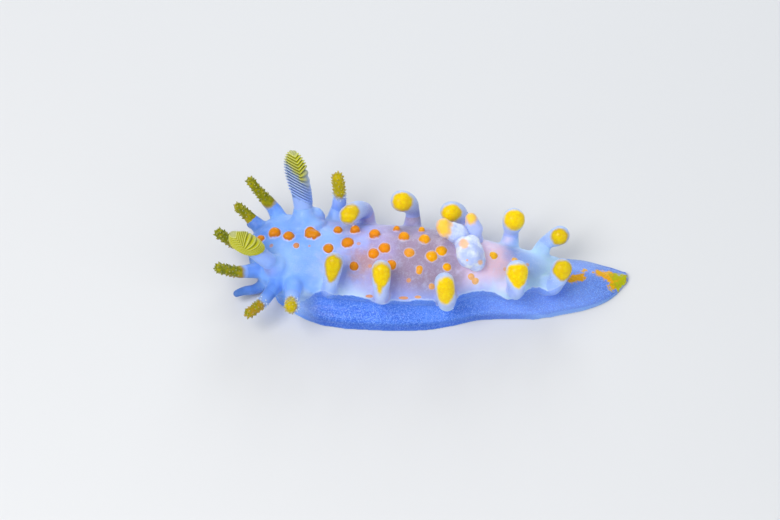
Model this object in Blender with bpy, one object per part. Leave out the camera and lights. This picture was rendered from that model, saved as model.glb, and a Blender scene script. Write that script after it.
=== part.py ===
"""A life-size orange-clubbed sea slug, about 20 mm long, crawling on its flat sole.

The head is at -X, the tail at +X, the animal's left flank at -Y and its back up. The origin lies on
the sole under the middle of the animal. All sizes below are millimetres, turned into metres when a
mesh is made. Near means the animal's left side and far its right side.
"""

import math
import random

import bmesh
import bpy
from mathutils import Matrix, Vector
from mathutils.bvhtree import BVHTree

MM = 0.001
GAP = 0.3
SEED = 11

# Where the body is divided, along X: head from mantle, and foot from tail.
NECK_X = -4.7
TAIL_CUT_X = 6.0

# Edges and heights of the body as (x, value) pairs that a smooth curve runs through.
FOOT_NEAR = (
    (-6.9, -0.9), (-6.1, -1.6), (-4.6, -2.3), (-2.0, -2.6), (0.4, -2.58), (1.7, -2.32), (2.9, -2.05),
    (4.5, -2.0), (5.8, -2.02), (6.7, -1.77), (7.9, -1.49), (8.9, -1.05), (9.5, -0.55), (9.82, -0.1),
)
FOOT_FAR = (
    (-6.9, 2.4), (-6.1, 2.85), (-4.6, 3.1), (-2.0, 2.95), (0.4, 2.7), (2.0, 2.3), (3.6, 1.95),
    (5.3, 1.75), (6.7, 1.52), (8.0, 1.38), (9.1, 1.02), (9.5, 0.87), (9.82, 0.7),
)
RIM_NEAR = (
    (-6.0, -1.62), (-4.8, -1.66), (-3.5, -1.88), (-1.5, -2.1), (0.4, -2.2), (1.7, -1.92),
    (2.9, -1.58), (3.7, -1.56), (5.0, -1.3), (5.8, -1.24), (6.3, -1.08),
)
RIM_FAR = (
    (-6.0, 3.12), (-4.6, 2.9), (-3.3, 2.64), (-1.5, 2.46), (0.4, 2.3), (2.0, 1.95), (3.4, 1.5),
    (5.3, 1.06), (6.3, 0.86),
)
RIM_Z = ((-6.0, 1.5), (2.0, 1.45), (4.0, 1.35), (5.3, 1.2), (6.3, 1.08))
BACK_Z = ((-6.0, 2.62), (-4.0, 2.8), (-1.5, 2.95), (1.0, 2.88), (3.0, 2.6), (5.0, 2.05), (6.3, 1.55))
TAIL_Z = ((6.0, 0.72), (7.0, 0.74), (8.0, 0.7), (9.1, 0.5), (9.82, 0.3))
CUT_Z = ((-6.4, 0.66), (-5.2, 0.95), (-4.0, 1.0), (3.5, 0.97), (6.3, 0.88))

# Rounded ends: where the last full section stands, how far the end reaches beyond it, the height that
# it closes at, and how far it drifts to the far side.
HEAD_END = (-6.0, -2.3, 1.3, 0.3)
MANTLE_END = (6.3, 0.75, 0.98, 0.0)
FOOT_END = (-6.4, -0.9, 0.3, 0.2)
TAIL_END = (9.82, 0.24, 0.1, 0.1)

# Distance between the sections, rings of a rounded end, and the least thickness of the foot's edge.
STATION = 0.38
END_RINGS = 6
LEAST_EDGE = 0.04

# Shapes of the sections. Across, 1 is the edge and 0 the middle. The flank stands under the mantle at
# NECK_SHARE. The mantle's edge rises from there by shares of its height, turns in over its lip and goes
# on as the crown. The flank widens to the foot by shares, with heights as a share of its top and mm on
# it, and the thin edges of foot and tail have heights in mm.
NECK_SHARE = 0.93
MANTLE_EDGE = ((0.985, 0.5), (1.0, 1.0))
LIP = 0.12
LIP_TURN = (0.965, 1.5)
CROWN_SHARES = (0.87, 0.72, 0.52, 0.27, 0.0)
FLANK = ((0, 1, 0), (0.3, 0.66, 0), (0.72, 0.4, 0.06))
FOOT_LIP = ((0.05, 0.26), (0, 0.112), (0.12, 0))
TAIL_BACK = ((0.3, 0.95), (0.58, 0.78), (0.82, 0.5))
TAIL_LIP = ((0.97, 0.2), (1, 0.096), (0.95, 0))

# Clubs of the mantle rim: x and side of the root, the points that draw the middle line from there to
# the tip, and the thickness of stalk and club.
ROUGH_CLUBS = {
    "club_left_1": ((-6.05, -1), ((-6.1, -2.6, 1.65), (-6.1, -3.22, 2.28)), 0.7, 0.74),
    "club_right_1": ((-4.1, 1), ((-3.8, 3.2, 2.45), (-3.98, 3.68, 3.66)), 0.7, 0.64),
}
CLUBS = {
    "club_left_2": ((-4.3, -1), ((-4.34, -2.15, 2.4), (-4.1, -1.46, 3.5)), 0.7, 0.9),
    "club_left_3": ((-1.85, -1), ((-1.86, -2.5, 2.35), (-1.86, -1.8, 3.32)), 0.72, 0.94),
    "club_left_4": ((1.26, -1), ((1.24, -2.82, 2.0), (1.13, -2.4, 3.1)), 0.84, 0.94),
    "club_left_5": ((4.45, -1), ((4.54, -1.95, 1.9), (4.6, -1.37, 2.68)), 0.84, 1.08),
    "club_left_6": ((6.1, -1), ((6.45, -1.4, 1.7), (6.76, -0.98, 2.42)), 0.76, 0.98),
    "club_right_2": ((-2.6, 1), ((-2.65, 2.85, 2.3), (-2.88, 2.44, 3.04), (-3.42, 1.58, 3.33)), 0.76, 0.96),
    "club_right_3": ((-0.36, 1), ((-0.34, 2.8, 2.2), (-0.4, 2.85, 2.85), (-0.9, 2.58, 3.22)), 0.7, 1.04),
    "club_right_4": ((2.0, 1), ((2.02, 2.42, 2.15), (1.86, 2.45, 2.75), (1.46, 2.08, 3.0)), 0.76, 1.0),
    "club_right_5": ((4.3, 1), ((4.38, 1.74, 2.12), (4.5, 1.6, 3.02)), 0.74, 1.08),
    "club_right_6": ((5.8, 1), ((6.2, 1.34, 1.68), (6.74, 1.3, 2.18)), 0.68, 0.92),
}

# Clubs of the veil in front of the head: the direction of the root in degrees round the head from
# straight ahead, far side positive, then as above.
VEIL_CLUBS = {
    "veil_club_right_2": (68, ((-7.6, 3.72, 2.15), (-8.2, 4.14, 2.9)), 0.64, 0.52),
    "veil_club_right_1": (38, ((-8.3, 2.8, 1.9), (-8.78, 2.95, 2.36)), 0.6, 0.54),
    "veil_club_middle": (4, ((-9.0, 1.08, 1.8), (-9.65, 1.25, 2.38)), 0.62, 0.58),
    "veil_club_left_1": (-34, ((-8.8, -0.7, 1.75), (-9.6, -0.9, 2.35)), 0.62, 0.58),
    "veil_club_left_2": (-66, ((-7.55, -2.45, 1.42), (-8.15, -2.95, 1.5)), 0.62, 0.58),
}

# Tentacles beside the mouth: root, the middle line after it, and thickness.
ORAL_TENTACLES = {
    "oral_tentacle_left": ((-7.35, -0.35, 0.95), ((-8.3, -0.85, 0.78), (-8.8, -1.08, 0.66)), 0.52),
    "oral_tentacle_right": ((-7.1, 2.15, 0.95), ((-7.85, 2.9, 0.78), (-8.25, 3.3, 0.66)), 0.52),
}
LIPS = ((-7.72, 0.78), (-7.66, 1.22))
LIP_SIZE = (0.34, 0.2, 0.3)
LIP_HEIGHT = 0.92

# Rhinophores: root on the head, tip, and thickness of stalk and club. Each stands in a low collar and
# carries leaves round a core, joined by a smooth ridge at the back.
RHINOPHORES = {
    "rhinophore_left": ((-7.0, -0.5), (-8.84, -0.22, 4.04), 0.78, 1.12),
    "rhinophore_right": ((-5.55, 2.0), (-6.1, 4.22, 4.76), 0.9, 1.18),
}
COLLAR = (0.64, 0.56, 0.24)
COLLAR_SIDES = 14
LEAVES = 12
LEAF_SIDES = 14
LEAF_RINGS = 3
LEAF_SLANT = 0.8
CORE_SHARE = 0.64
RIDGE_SHARE = 0.86
RIDGE_WIDTH = math.radians(60)
RIDGE_FLAT = 0.25
LEAF_SWELL = 0.14
TOP_SHRINK = 0.42
TOP_BLUNT = 6
TOP_RISE = 0.14
STALK_STEPS = 16
STALK_STRIDE = 5

# Gills: root on the back, tip, thickness of the stem, pairs of side lobes, length of the lowest and the
# direction that the lobes of one side lie in, with the other side's opposite to it.
GILLS = {
    "gill_front": ((1.95, 0.35), (1.05, 0.64, 3.64), 0.62, 4, 0.36, (0, 0.77, 0.64)),
    "gill_right": ((2.62, 0.78), (2.43, 1.22, 3.52), 0.56, 3, 0.34, (1, 0, 0)),
    "gill_left": ((2.72, -0.34), (2.32, -0.86, 3.55), 0.88, 4, 0.98, (0.5, -0.66, -0.55)),
}
GILL_TAPER = (1.1, 0.6)
LOBE_THICK = 0.62
LOBE_SHARES = (0.5, 0.94)
LOBE_SHRINK = 0.5
LOBE_SINK = 1.25
LOBE_LEAN = 0.45
LOBE_VARIES = (0.9, 1.1)

# Raised spots of the back: x, y and diameter.
HEAD_TUBERCLES = (
    (-7.65, 1.01, 0.42), (-6.98, 1.15, 0.6), (-6.31, 0.87, 0.54), (-5.2, 0.88, 0.64), (-5.94, 0.31, 0.3),
)
MANTLE_TUBERCLES = (
    (-4.35, 0.03, 0.46), (-3.95, 1.1, 0.43), (-3.47, 0.28, 0.58), (-3.12, 1.07, 0.47), (-3.17, -0.9, 0.43),
    (-2.24, -0.39, 0.51), (-2.18, 0.71, 0.55), (-1.71, -0.11, 0.55), (-1.38, -0.93, 0.46), (-1.11, 1.12, 0.34),
    (-0.78, 0.54, 0.53), (-0.52, -0.38, 0.48), (-0.05, -1.17, 0.36), (0.07, 1.18, 0.34), (0.2, 0.39, 0.54),
    (0.53, -0.55, 0.54), (0.55, -1.75, 0.28), (1.02, -0.24, 0.51), (1.27, -0.99, 0.39), (2.5, -1.27, 0.4),
    (3.5, -0.21, 0.39), (4.53, -0.28, 0.31), (5.14, -0.37, 0.26),
)
TUBERCLE_RISE = 0.42
TUBERCLE_SINK = 0.2
TUBERCLE_HEIGHT = 2.4

# How outgrowths leave the body: the farthest that their root is looked for, a height above the whole
# animal, the most that a slanting seat is lifted, the least way between rings, and the length that they
# keep their first direction.
SEAT_REACH = 0.9
ABOVE_ALL = 9
STEEPEST_SEAT = 0.6
LEAST_RISE = 0.05
ROOT_RISE = 0.35
PATH_STEPS = 48

# How outgrowths are rounded, how far papillae stand out and where they begin, and how clubs, tentacles
# and their roots swell and narrow.
SIDES = 10
BALL_SIDES = (8, 5)
CLUB_RINGS = 8
ROUGH_RINGS = 15
TIP_RINGS = 3
PAPILLA = 0.13
PAPILLAE_FROM = 0.34
PAPILLA_VARIES = (0.6, 1.15)
SWELL_FROM = 0.35
FLARE_TO = 0.25
FLARE = 0.18
TENTACLE_TAPER = (1.1, 0.7)
RIM_ROOT = (0.97, 0.17)

FLESH = {
    "head": (0.42, 0.56, 0.9),
    "mantle": (0.6, 0.54, 0.72),
    "foot": (0.2, 0.33, 0.8),
    "club": (0.95, 0.66, 0.01),
    "rhinophore": (0.72, 0.62, 0.05),
    "gill": (0.85, 0.83, 0.95),
    "tentacle": (0.35, 0.5, 0.85),
}


def clear_scene():
    for obj in list(bpy.data.objects):
        bpy.data.objects.remove(obj)


def new_collection(name):
    collection = bpy.data.collections.new(name)
    bpy.context.scene.collection.children.link(collection)
    return collection


def flesh_material(name):
    """Wet, smooth flesh in one of the animal's colours."""
    if name in bpy.data.materials:
        return bpy.data.materials[name]
    material = bpy.data.materials.new(name)
    material.use_nodes = True
    shader = material.node_tree.nodes["Principled BSDF"]
    shader.inputs["Base Color"].default_value = (*FLESH[name], 1)
    shader.inputs["Roughness"].default_value = 0.25
    shader.inputs["Metallic"].default_value = 0
    return material


def along(points, x):
    """The value at x of a smooth curve through (x, value) points, level beyond its ends."""
    if x <= points[0][0]:
        return points[0][1]
    for i in range(len(points) - 1):
        (x0, v0), (x1, v1) = points[i], points[i + 1]
        if x <= x1:
            before = points[max(i - 1, 0)]
            after = points[min(i + 2, len(points) - 1)]
            m0 = (v1 - before[1]) / (x1 - before[0]) * (x1 - x0)
            m1 = (after[1] - v0) / (after[0] - x0) * (x1 - x0)
            t = (x - x0) / (x1 - x0)
            rise = (3 * t**2 - 2 * t**3) * (v1 - v0)
            return v0 + rise + (t**3 - 2 * t**2 + t) * m0 + (t**3 - t**2) * m1
    return points[-1][1]


def rim(x):
    """Middle and half width of the mantle rim."""
    near, far = along(RIM_NEAR, x), along(RIM_FAR, x)
    return (near + far) / 2, (far - near) / 2


def crown_height(x, q):
    """Height of the back at a share of the rim's half width."""
    edge, top = along(RIM_Z, x) + LIP, along(BACK_Z, x)
    return edge + (top - edge) * (1 - q * q)


def upper_section(x, floor):
    """The outline of head or mantle from its near lower edge over the back to the far one."""
    middle, half = rim(x)
    edge = along(RIM_Z, x)
    turn, rise = LIP_TURN
    side = [(NECK_SHARE, floor)] + [(q, floor + (edge - floor) * share) for q, share in MANTLE_EDGE]
    side += [(turn, edge + LIP * rise)] + [(q, crown_height(x, q)) for q in CROWN_SHARES]
    near = [(middle - q * half, z) for q, z in side]
    far = [(middle + q * half, z) for q, z in reversed(side[:-1])]
    return near + far


def foot_sides(x, ceiling):
    """The flank and the thin edge of the foot on both sides, from the flank's top to the sole."""
    middle, half = rim(x)
    sides = []
    for sign, edge in ((-1, along(FOOT_NEAR, x)), (1, along(FOOT_FAR, x))):
        top = middle + sign * NECK_SHARE * half
        side = [(top + share * (edge - top), rise * ceiling + lift) for share, rise, lift in FLANK]
        sides.append(side + [(edge - sign * inward, z) for inward, z in FOOT_LIP])
    return sides


def lower_section(x):
    """The outline of the foot under the mantle."""
    near, far = foot_sides(x, along(CUT_Z, x) - GAP / 2)
    return near + list(reversed(far))


def tail_section(x):
    """The outline of the tail, with a low crown."""
    near, far = along(FOOT_NEAR, x), along(FOOT_FAR, x)
    middle, half, top = (near + far) / 2, (far - near) / 2, along(TAIL_Z, x)
    side = [(q, top * rise) for q, rise in TAIL_BACK] + list(TAIL_LIP)
    left = [(middle - q * half, z) for q, z in side]
    right = [(middle + q * half, z) for q, z in reversed(side)]
    return [(middle, top)] + left + right


def ring_at(x, outline):
    return [Vector((x, y, z)) for y, z in outline]


def stations(start, end):
    count = max(2, round((end - start) / STATION))
    return [start + (end - start) * i / count for i in range(count + 1)]


def rounded_end(ring, end, on_ground=False):
    """Rings that close a body's end like a dome, and the point that they close on."""
    _, reach, height, drift = end
    middle = sum(ring, Vector()) / len(ring)
    middle.z = height
    rings = []
    for i in range(1, END_RINGS):
        turn = math.radians(90 * i / END_RINGS)
        shift = Vector((reach, drift, 0)) * math.sin(turn)
        shrunk = [middle + shift + (p - middle) * math.cos(turn) for p in ring]
        if on_ground:
            for point, original in zip(shrunk, ring):
                point.z = 0 if original.z == 0 else max(point.z, LEAST_EDGE)
        rings.append(shrunk)
    return rings, middle + Vector((reach, drift, 0))


def skin_over(rings, start, end, scale):
    """A closed skin over rings of equal length. Each end is a point, or flat where it is None."""
    bm = bmesh.new()
    rows = [[bm.verts.new(p * scale) for p in ring] for ring in rings]
    for row, following in zip(rows, rows[1:]):
        for i in range(len(row)):
            j = (i + 1) % len(row)
            bm.faces.new((row[i], row[j], following[j], following[i]))
    for row, point in ((rows[0], start), (rows[-1], end)):
        if point is None:
            bm.faces.new(row)
            continue
        pole = bm.verts.new(point * scale)
        for i in range(len(row)):
            bm.faces.new((row[i], row[(i + 1) % len(row)], pole))
    bmesh.ops.recalc_face_normals(bm, faces=bm.faces)
    return bm


def object_from(bm, name, material, collection):
    mesh = bpy.data.meshes.new(name)
    bm.to_mesh(mesh)
    bm.free()
    mesh.shade_smooth()
    mesh.materials.append(flesh_material(material))
    obj = bpy.data.objects.new(name, mesh)
    collection.objects.link(obj)
    return obj


def largest_shell(bm):
    """Removes every closed surface of the mesh but the one with the most faces."""
    left = set(bm.faces)
    shells = []
    while left:
        shell = set()
        edge_faces = [left.pop()]
        while edge_faces:
            face = edge_faces.pop()
            shell.add(face)
            for edge in face.edges:
                for other in edge.link_faces:
                    if other in left:
                        left.discard(other)
                        edge_faces.append(other)
        shells.append(shell)
    shells.sort(key=len)
    for shell in shells[:-1]:
        bmesh.ops.delete(bm, geom=list(shell), context="FACES")


def fuse(body, pieces):
    """Joins the pieces to the body by one union and keeps its largest closed surface."""
    union = body.modifiers.new("fused", "BOOLEAN")
    union.operation = "UNION"
    union.operand_type = "COLLECTION"
    union.collection = pieces
    union.solver = "EXACT"
    graph = bpy.context.evaluated_depsgraph_get()
    mesh = bpy.data.meshes.new_from_object(body.evaluated_get(graph))
    body.modifiers.clear()
    for piece in list(pieces.objects):
        bpy.data.objects.remove(piece)
    bpy.data.collections.remove(pieces)
    bm = bmesh.new()
    bm.from_mesh(mesh)
    largest_shell(bm)
    bm.to_mesh(mesh)
    bm.free()
    mesh.shade_smooth()
    body.data = mesh


def upper_rings(start, end):
    return [ring_at(x, upper_section(x, along(CUT_Z, x) + GAP / 2)) for x in stations(start, end)]


def make_head(surface, collection):
    body = upper_rings(HEAD_END[0], NECK_X - GAP / 2)
    dome, tip = rounded_end(body[0], HEAD_END)
    head = object_from(skin_over(list(reversed(dome)) + body, tip, None, MM), "head", "head", collection)
    pieces = new_collection("head_pieces")
    add_tubercles(HEAD_TUBERCLES, surface, "head", pieces)
    for foot, tip, _, _ in RHINOPHORES.values():
        add_collar(foot, tip, surface, pieces)
    for x, y in LIPS:
        add_ball(Vector((x, y, LIP_HEIGHT)), Vector((0, 0, 1)), LIP_SIZE, "head", pieces)
    fuse(head, pieces)


def make_mantle(surface, collection):
    body = upper_rings(NECK_X + GAP / 2, MANTLE_END[0])
    dome, tip = rounded_end(body[-1], MANTLE_END)
    mantle = object_from(skin_over(body + dome, None, tip, MM), "mantle", "mantle", collection)
    pieces = new_collection("mantle_pieces")
    add_tubercles(MANTLE_TUBERCLES, surface, "mantle", pieces)
    fuse(mantle, pieces)


def make_foot(collection):
    body = [ring_at(x, lower_section(x)) for x in stations(FOOT_END[0], TAIL_CUT_X - GAP / 2)]
    dome, tip = rounded_end(body[0], FOOT_END, True)
    object_from(skin_over(list(reversed(dome)) + body, tip, None, MM), "foot", "foot", collection)


def make_tail(collection):
    body = [ring_at(x, tail_section(x)) for x in stations(TAIL_CUT_X + GAP / 2, TAIL_END[0])]
    dome, tip = rounded_end(body[-1], TAIL_END, True)
    object_from(skin_over(body + dome, None, tip, MM), "tail", "foot", collection)


def body_surface():
    """The whole body as one surface, undivided, for whatever grows from it to be set on."""
    rings = []
    for x in stations(HEAD_END[0], MANTLE_END[0]):
        near, far = foot_sides(x, along(CUT_Z, x))
        outline = upper_section(x, along(CUT_Z, x)) + far[1:] + list(reversed(near[1:]))
        rings.append(ring_at(x, outline))
    front, front_tip = rounded_end(rings[0], HEAD_END)
    rear, rear_tip = rounded_end(rings[-1], MANTLE_END)
    bm = skin_over(list(reversed(front)) + rings + rear, front_tip, rear_tip, 1)
    tree = BVHTree.FromBMesh(bm)
    bm.free()
    return tree


def facing_up(axis):
    """The turn that lays local +Z along the axis."""
    return Vector((0, 0, 1)).rotation_difference(axis).to_matrix().to_4x4()


def add_ball(centre, axis, size, material, pieces):
    """A small ball, stretched to the size, its third measure along the axis."""
    around, upward = BALL_SIDES
    bm = bmesh.new()
    bmesh.ops.create_uvsphere(bm, u_segments=around, v_segments=upward, radius=0.5)
    place = Matrix.Translation(centre * MM) @ facing_up(axis) @ Matrix.Diagonal((*size, 1 / MM)) * MM
    bmesh.ops.transform(bm, matrix=place, verts=bm.verts)
    return object_from(bm, "piece", material, pieces)


def on_back(surface, x, y):
    """The place and outward direction of the back above x and y."""
    place, normal, _, _ = surface.ray_cast(Vector((x, y, ABOVE_ALL)), Vector((0, 0, -1)))
    return place, normal if normal.z > 0 else -normal


def add_tubercles(spots, surface, material, pieces):
    """Low domes on the back, sunk so that their rim lies under the skin."""
    for x, y, across in spots:
        place, normal = on_back(surface, x, y)
        rise = TUBERCLE_RISE * across
        centre = place - normal * rise * TUBERCLE_SINK
        add_ball(centre, normal, (across, across, rise * TUBERCLE_HEIGHT), material, pieces)


def rhinophore_axis(foot, tip, surface):
    """Where a rhinophore's collar stands and the direction that it rises in."""
    place, normal = on_back(surface, *foot)
    return place, (normal + (Vector(tip) - place).normalized()).normalized()


def add_collar(foot, tip, surface, pieces):
    """The low sheath round the root of a rhinophore."""
    wide, narrow, height = COLLAR
    place, axis = rhinophore_axis(foot, tip, surface)
    bm = bmesh.new()
    ends = {"radius1": wide * MM, "radius2": narrow * MM, "depth": 3 * height * MM}
    bmesh.ops.create_cone(bm, cap_ends=True, segments=COLLAR_SIDES, **ends)
    turn = Matrix.Translation((place - axis * height / 2) * MM) @ facing_up(axis)
    bmesh.ops.transform(bm, matrix=turn, verts=bm.verts)
    object_from(bm, "piece", "head", pieces)


def bezier(points, share):
    """The place at a share of the Bezier curve from the first point to the last, drawn by the others."""
    while len(points) > 1:
        points = [a.lerp(b, share) for a, b in zip(points, points[1:])]
    return points[0]


def smooth_path(points, count):
    """Places at even distances on the Bezier curve of the points."""
    fine = [bezier(points, k / PATH_STEPS) for k in range(PATH_STEPS + 1)]
    reach = [0.0]
    for a, b in zip(fine, fine[1:]):
        reach.append(reach[-1] + (b - a).length)
    path = []
    for k in range(count + 1):
        goal = reach[-1] * k / count
        i = min(max(1, sum(r < goal for r in reach)), len(fine) - 1)
        path.append(fine[i - 1].lerp(fine[i], (goal - reach[i - 1]) / (reach[i] - reach[i - 1])))
    return path


def cross_frames(path, side=None):
    """Two directions square to the path at each place, and the path's own, without needless turning."""
    frames = []
    for i in range(len(path)):
        ahead = (path[min(i + 1, len(path) - 1)] - path[max(i - 1, 0)]).normalized()
        if side is None:
            side = ahead.orthogonal()
        side = (side - ahead * side.dot(ahead)).normalized()
        frames.append((side, ahead.cross(side), ahead))
    return frames


def seat(surface, point, outward):
    """The place a gap above the body's surface, straight below the point as it grows outward."""
    place, normal, _, _ = surface.ray_cast(point + outward * SEAT_REACH, -outward)
    if place is None:
        place, normal, _, _ = surface.find_nearest(point)
    return place + outward * GAP / max(STEEPEST_SEAT, abs(normal.dot(outward)))


def outgrowth(surface, root, points, radius, count, relief):
    """Rings and poles of a fleshy outgrowth that leaves the body and bends the way the points lead.

    radius gives its radius at a share of its length, and relief what to add to it on a ring and side.
    """
    place, normal, _, _ = surface.find_nearest(root)
    towards = (points[0] - place).normalized()
    if normal.dot(towards) < 0:
        normal = -normal
    outward = (normal + towards).normalized()
    start = seat(surface, place, outward)
    path = smooth_path([start, start + outward * ROOT_RISE] + points, count)
    frames = cross_frames(path)
    tip_radius = radius(1)
    spots = [(point, frame, radius(i / count), 0.0) for i, (point, frame) in enumerate(zip(path, frames))]
    for k in range(1, TIP_RINGS):
        turn = math.radians(90 * k / TIP_RINGS)
        spots.append((path[-1], frames[-1], tip_radius * math.cos(turn), tip_radius * math.sin(turn)))
    rings = []
    for i, (point, (across, up, ahead), size, lift) in enumerate(spots):
        ring = []
        for k in range(SIDES):
            turn = 2 * math.pi * k / SIDES
            out = across * math.cos(turn) + up * math.sin(turn)
            skin = point + out * size + ahead * lift
            ring.append(skin + (skin - point).normalized() * relief(i, k))
        rings.append(ring)
    rings[0] = [seat(surface, p, outward) for p in rings[0]]
    for lower, upper, (_, (_, _, ahead), _, _) in zip(rings, rings[1:], spots[1:]):
        for k, point in enumerate(lower):
            rise = (upper[k] - point).dot(ahead)
            upper[k] += ahead * max(0.0, LEAST_RISE - rise)
    return rings, start, path[-1] + frames[-1][2] * tip_radius


def smooth_skin(ring, side):
    return 0.0


def papillate_skin(rng):
    """Pointed papillae on every second place of the outer part of a rough club."""
    first = round(PAPILLAE_FROM * ROUGH_RINGS)

    def relief(ring, side):
        if ring < first or (ring + side) % 2:
            return 0.0
        return PAPILLA * rng.uniform(*PAPILLA_VARIES)

    return relief


def club_radius(stalk, club):
    """Thick at the root, slimmer along the stalk and widest near the tip."""

    def radius(share):
        swell = math.sin(max(0.0, share - SWELL_FROM) / (1 - SWELL_FROM) * math.pi / 2)
        flare = max(0.0, 1 - share / FLARE_TO)
        return (stalk + (club - stalk) * swell) / 2 * (1 + FLARE * flare * flare)

    return radius


def rim_place(x, sign):
    """Where a club leaves the rim of the mantle."""
    middle, half = rim(x)
    inward, above = RIM_ROOT
    return Vector((x, middle + sign * inward * half, along(RIM_Z, x) + above))


def veil_place(angle):
    """Where a club leaves the front of the head."""
    x_end, reach, _, drift = HEAD_END
    middle, half = rim(x_end)
    turn = math.radians(angle)
    x = x_end + reach * math.cos(turn)
    y = middle + drift * math.cos(turn) + half * math.sin(turn)
    return Vector((x, y, along(RIM_Z, x_end)))


def grow(name, surface, root, points, radius, material, collection, count=CLUB_RINGS, relief=smooth_skin):
    line = [Vector(p) for p in points]
    rings, start, end = outgrowth(surface, root, line, radius, count, relief)
    return object_from(skin_over(rings, start, end, MM), name, material, collection)


def make_clubs(surface, rng, collection):
    for name, (place, points, stalk, club) in CLUBS.items():
        grow(name, surface, rim_place(*place), points, club_radius(stalk, club), "club", collection)
    rough = [(name, rim_place(*spec[0]), *spec[1:]) for name, spec in ROUGH_CLUBS.items()]
    rough += [(name, veil_place(spec[0]), *spec[1:]) for name, spec in VEIL_CLUBS.items()]
    for name, root, points, stalk, club in rough:
        skin = papillate_skin(rng)
        grow(name, surface, root, points, club_radius(stalk, club), "club", collection, ROUGH_RINGS, skin)


def tapered(thick, ends):
    """A radius that goes evenly from one share of the thickness to another."""
    first, last = ends

    def radius(share):
        return thick / 2 * (first + (last - first) * share)

    return radius


def make_oral_tentacles(surface, collection):
    for name, (root, points, thick) in ORAL_TENTACLES.items():
        taper = tapered(thick, TENTACLE_TAPER)
        grow(name, surface, Vector(root), points, taper, "tentacle", collection)


def leaf_ring(point, frame, size, ridge, slant):
    """One ring of a rhinophore, which slants down to the ridge behind."""
    back, side, ahead = frame
    ring = []
    for k in range(LEAF_SIDES):
        turn = 2 * math.pi * k / LEAF_SIDES
        from_ridge = min(turn, 2 * math.pi - turn) / RIDGE_WIDTH
        open_share = min(1.0, max(0.0, from_ridge - RIDGE_FLAT))
        out = size * open_share + ridge * (1 - open_share)
        spoke = back * math.cos(turn) + side * math.sin(turn)
        ring.append(point + spoke * out - ahead * slant * out * math.cos(turn))
    return ring


def make_rhinophores(surface, collection):
    for name, (foot, tip, stalk, club) in RHINOPHORES.items():
        place, axis = rhinophore_axis(foot, tip, surface)
        root = place + axis * (COLLAR[2] + GAP)
        line = [root, root + axis * ROOT_RISE, root.lerp(Vector(tip), 0.5), Vector(tip)]
        path = smooth_path(line, STALK_STEPS + LEAF_RINGS * LEAVES)
        frames = cross_frames(path, Vector((1, 0, 0)))
        rings = []
        for i in range(0, STALK_STEPS, STALK_STRIDE):
            slant = LEAF_SLANT * i / STALK_STEPS
            rings.append(leaf_ring(path[i], frames[i], stalk / 2, stalk / 2, slant))
        for i in range(STALK_STEPS, len(path)):
            share = (i - STALK_STEPS) / (len(path) - STALK_STEPS)
            swell = 1 - LEAF_SWELL * (1 - math.sin(math.pi * share))
            plate = club / 2 * swell * (1 - TOP_SHRINK * share**TOP_BLUNT)
            core = plate * (CORE_SHARE if (i - STALK_STEPS) % LEAF_RINGS == 0 else 1)
            rings.append(leaf_ring(path[i], frames[i], core, plate * RIDGE_SHARE, LEAF_SLANT))
        end = path[-1] + frames[-1][2] * TOP_RISE
        object_from(skin_over(rings, None, end, MM), name, "rhinophore", collection)


def make_gills(surface, rng, collection):
    """Each gill is a stem with rounded lobes to both sides, shorter towards the tip."""
    low, high = LOBE_SHARES
    for name, (foot, tip, thick, pairs, lobe, spread) in GILLS.items():
        root, _ = on_back(surface, *foot)
        tip = Vector(tip)
        line = [root.lerp(tip, 0.5), tip]
        gill = grow(name, surface, root, line, tapered(thick, GILL_TAPER), "gill", collection)
        pieces = new_collection(name + "_lobes")
        ahead = (tip - root).normalized()
        across = (Vector(spread) - ahead * ahead.dot(Vector(spread))).normalized()
        for k in range(pairs):
            step = k / (pairs - 1)
            stem = root.lerp(tip, low + (high - low) * step)
            for sign in (-1, 1):
                length = lobe * (1 - LOBE_SHRINK * step) * rng.uniform(*LOBE_VARIES)
                out = (across * sign + ahead * LOBE_LEAN).normalized()
                size = (thick * LOBE_THICK, thick * LOBE_THICK, length * LOBE_SINK)
                add_ball(stem + out * length / 2, out, size, "gill", pieces)
        fuse(gill, pieces)


def main():
    clear_scene()
    rng = random.Random(SEED)
    collection = new_collection("sea_slug")
    surface = body_surface()
    make_head(surface, collection)
    make_mantle(surface, collection)
    make_foot(collection)
    make_tail(collection)
    make_clubs(surface, rng, collection)
    make_oral_tentacles(surface, collection)
    make_rhinophores(surface, collection)
    make_gills(surface, rng, collection)


main()
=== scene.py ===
"""The looks of a life-size orange-clubbed sea slug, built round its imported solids.

Lengths are millimetres, turned into metres when a mesh is made. The head is at -X, the tail at +X, the
animal's left flank at -Y, and the sole lies at height 0. Near means the animal's left side, far its right.
One skin covers the flesh. Papillae, the leaves of the rhinophores and the gills are meshes of their own.
"""

import math
import random

import bpy
import numpy as np
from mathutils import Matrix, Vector
from mathutils.bvhtree import BVHTree

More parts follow.
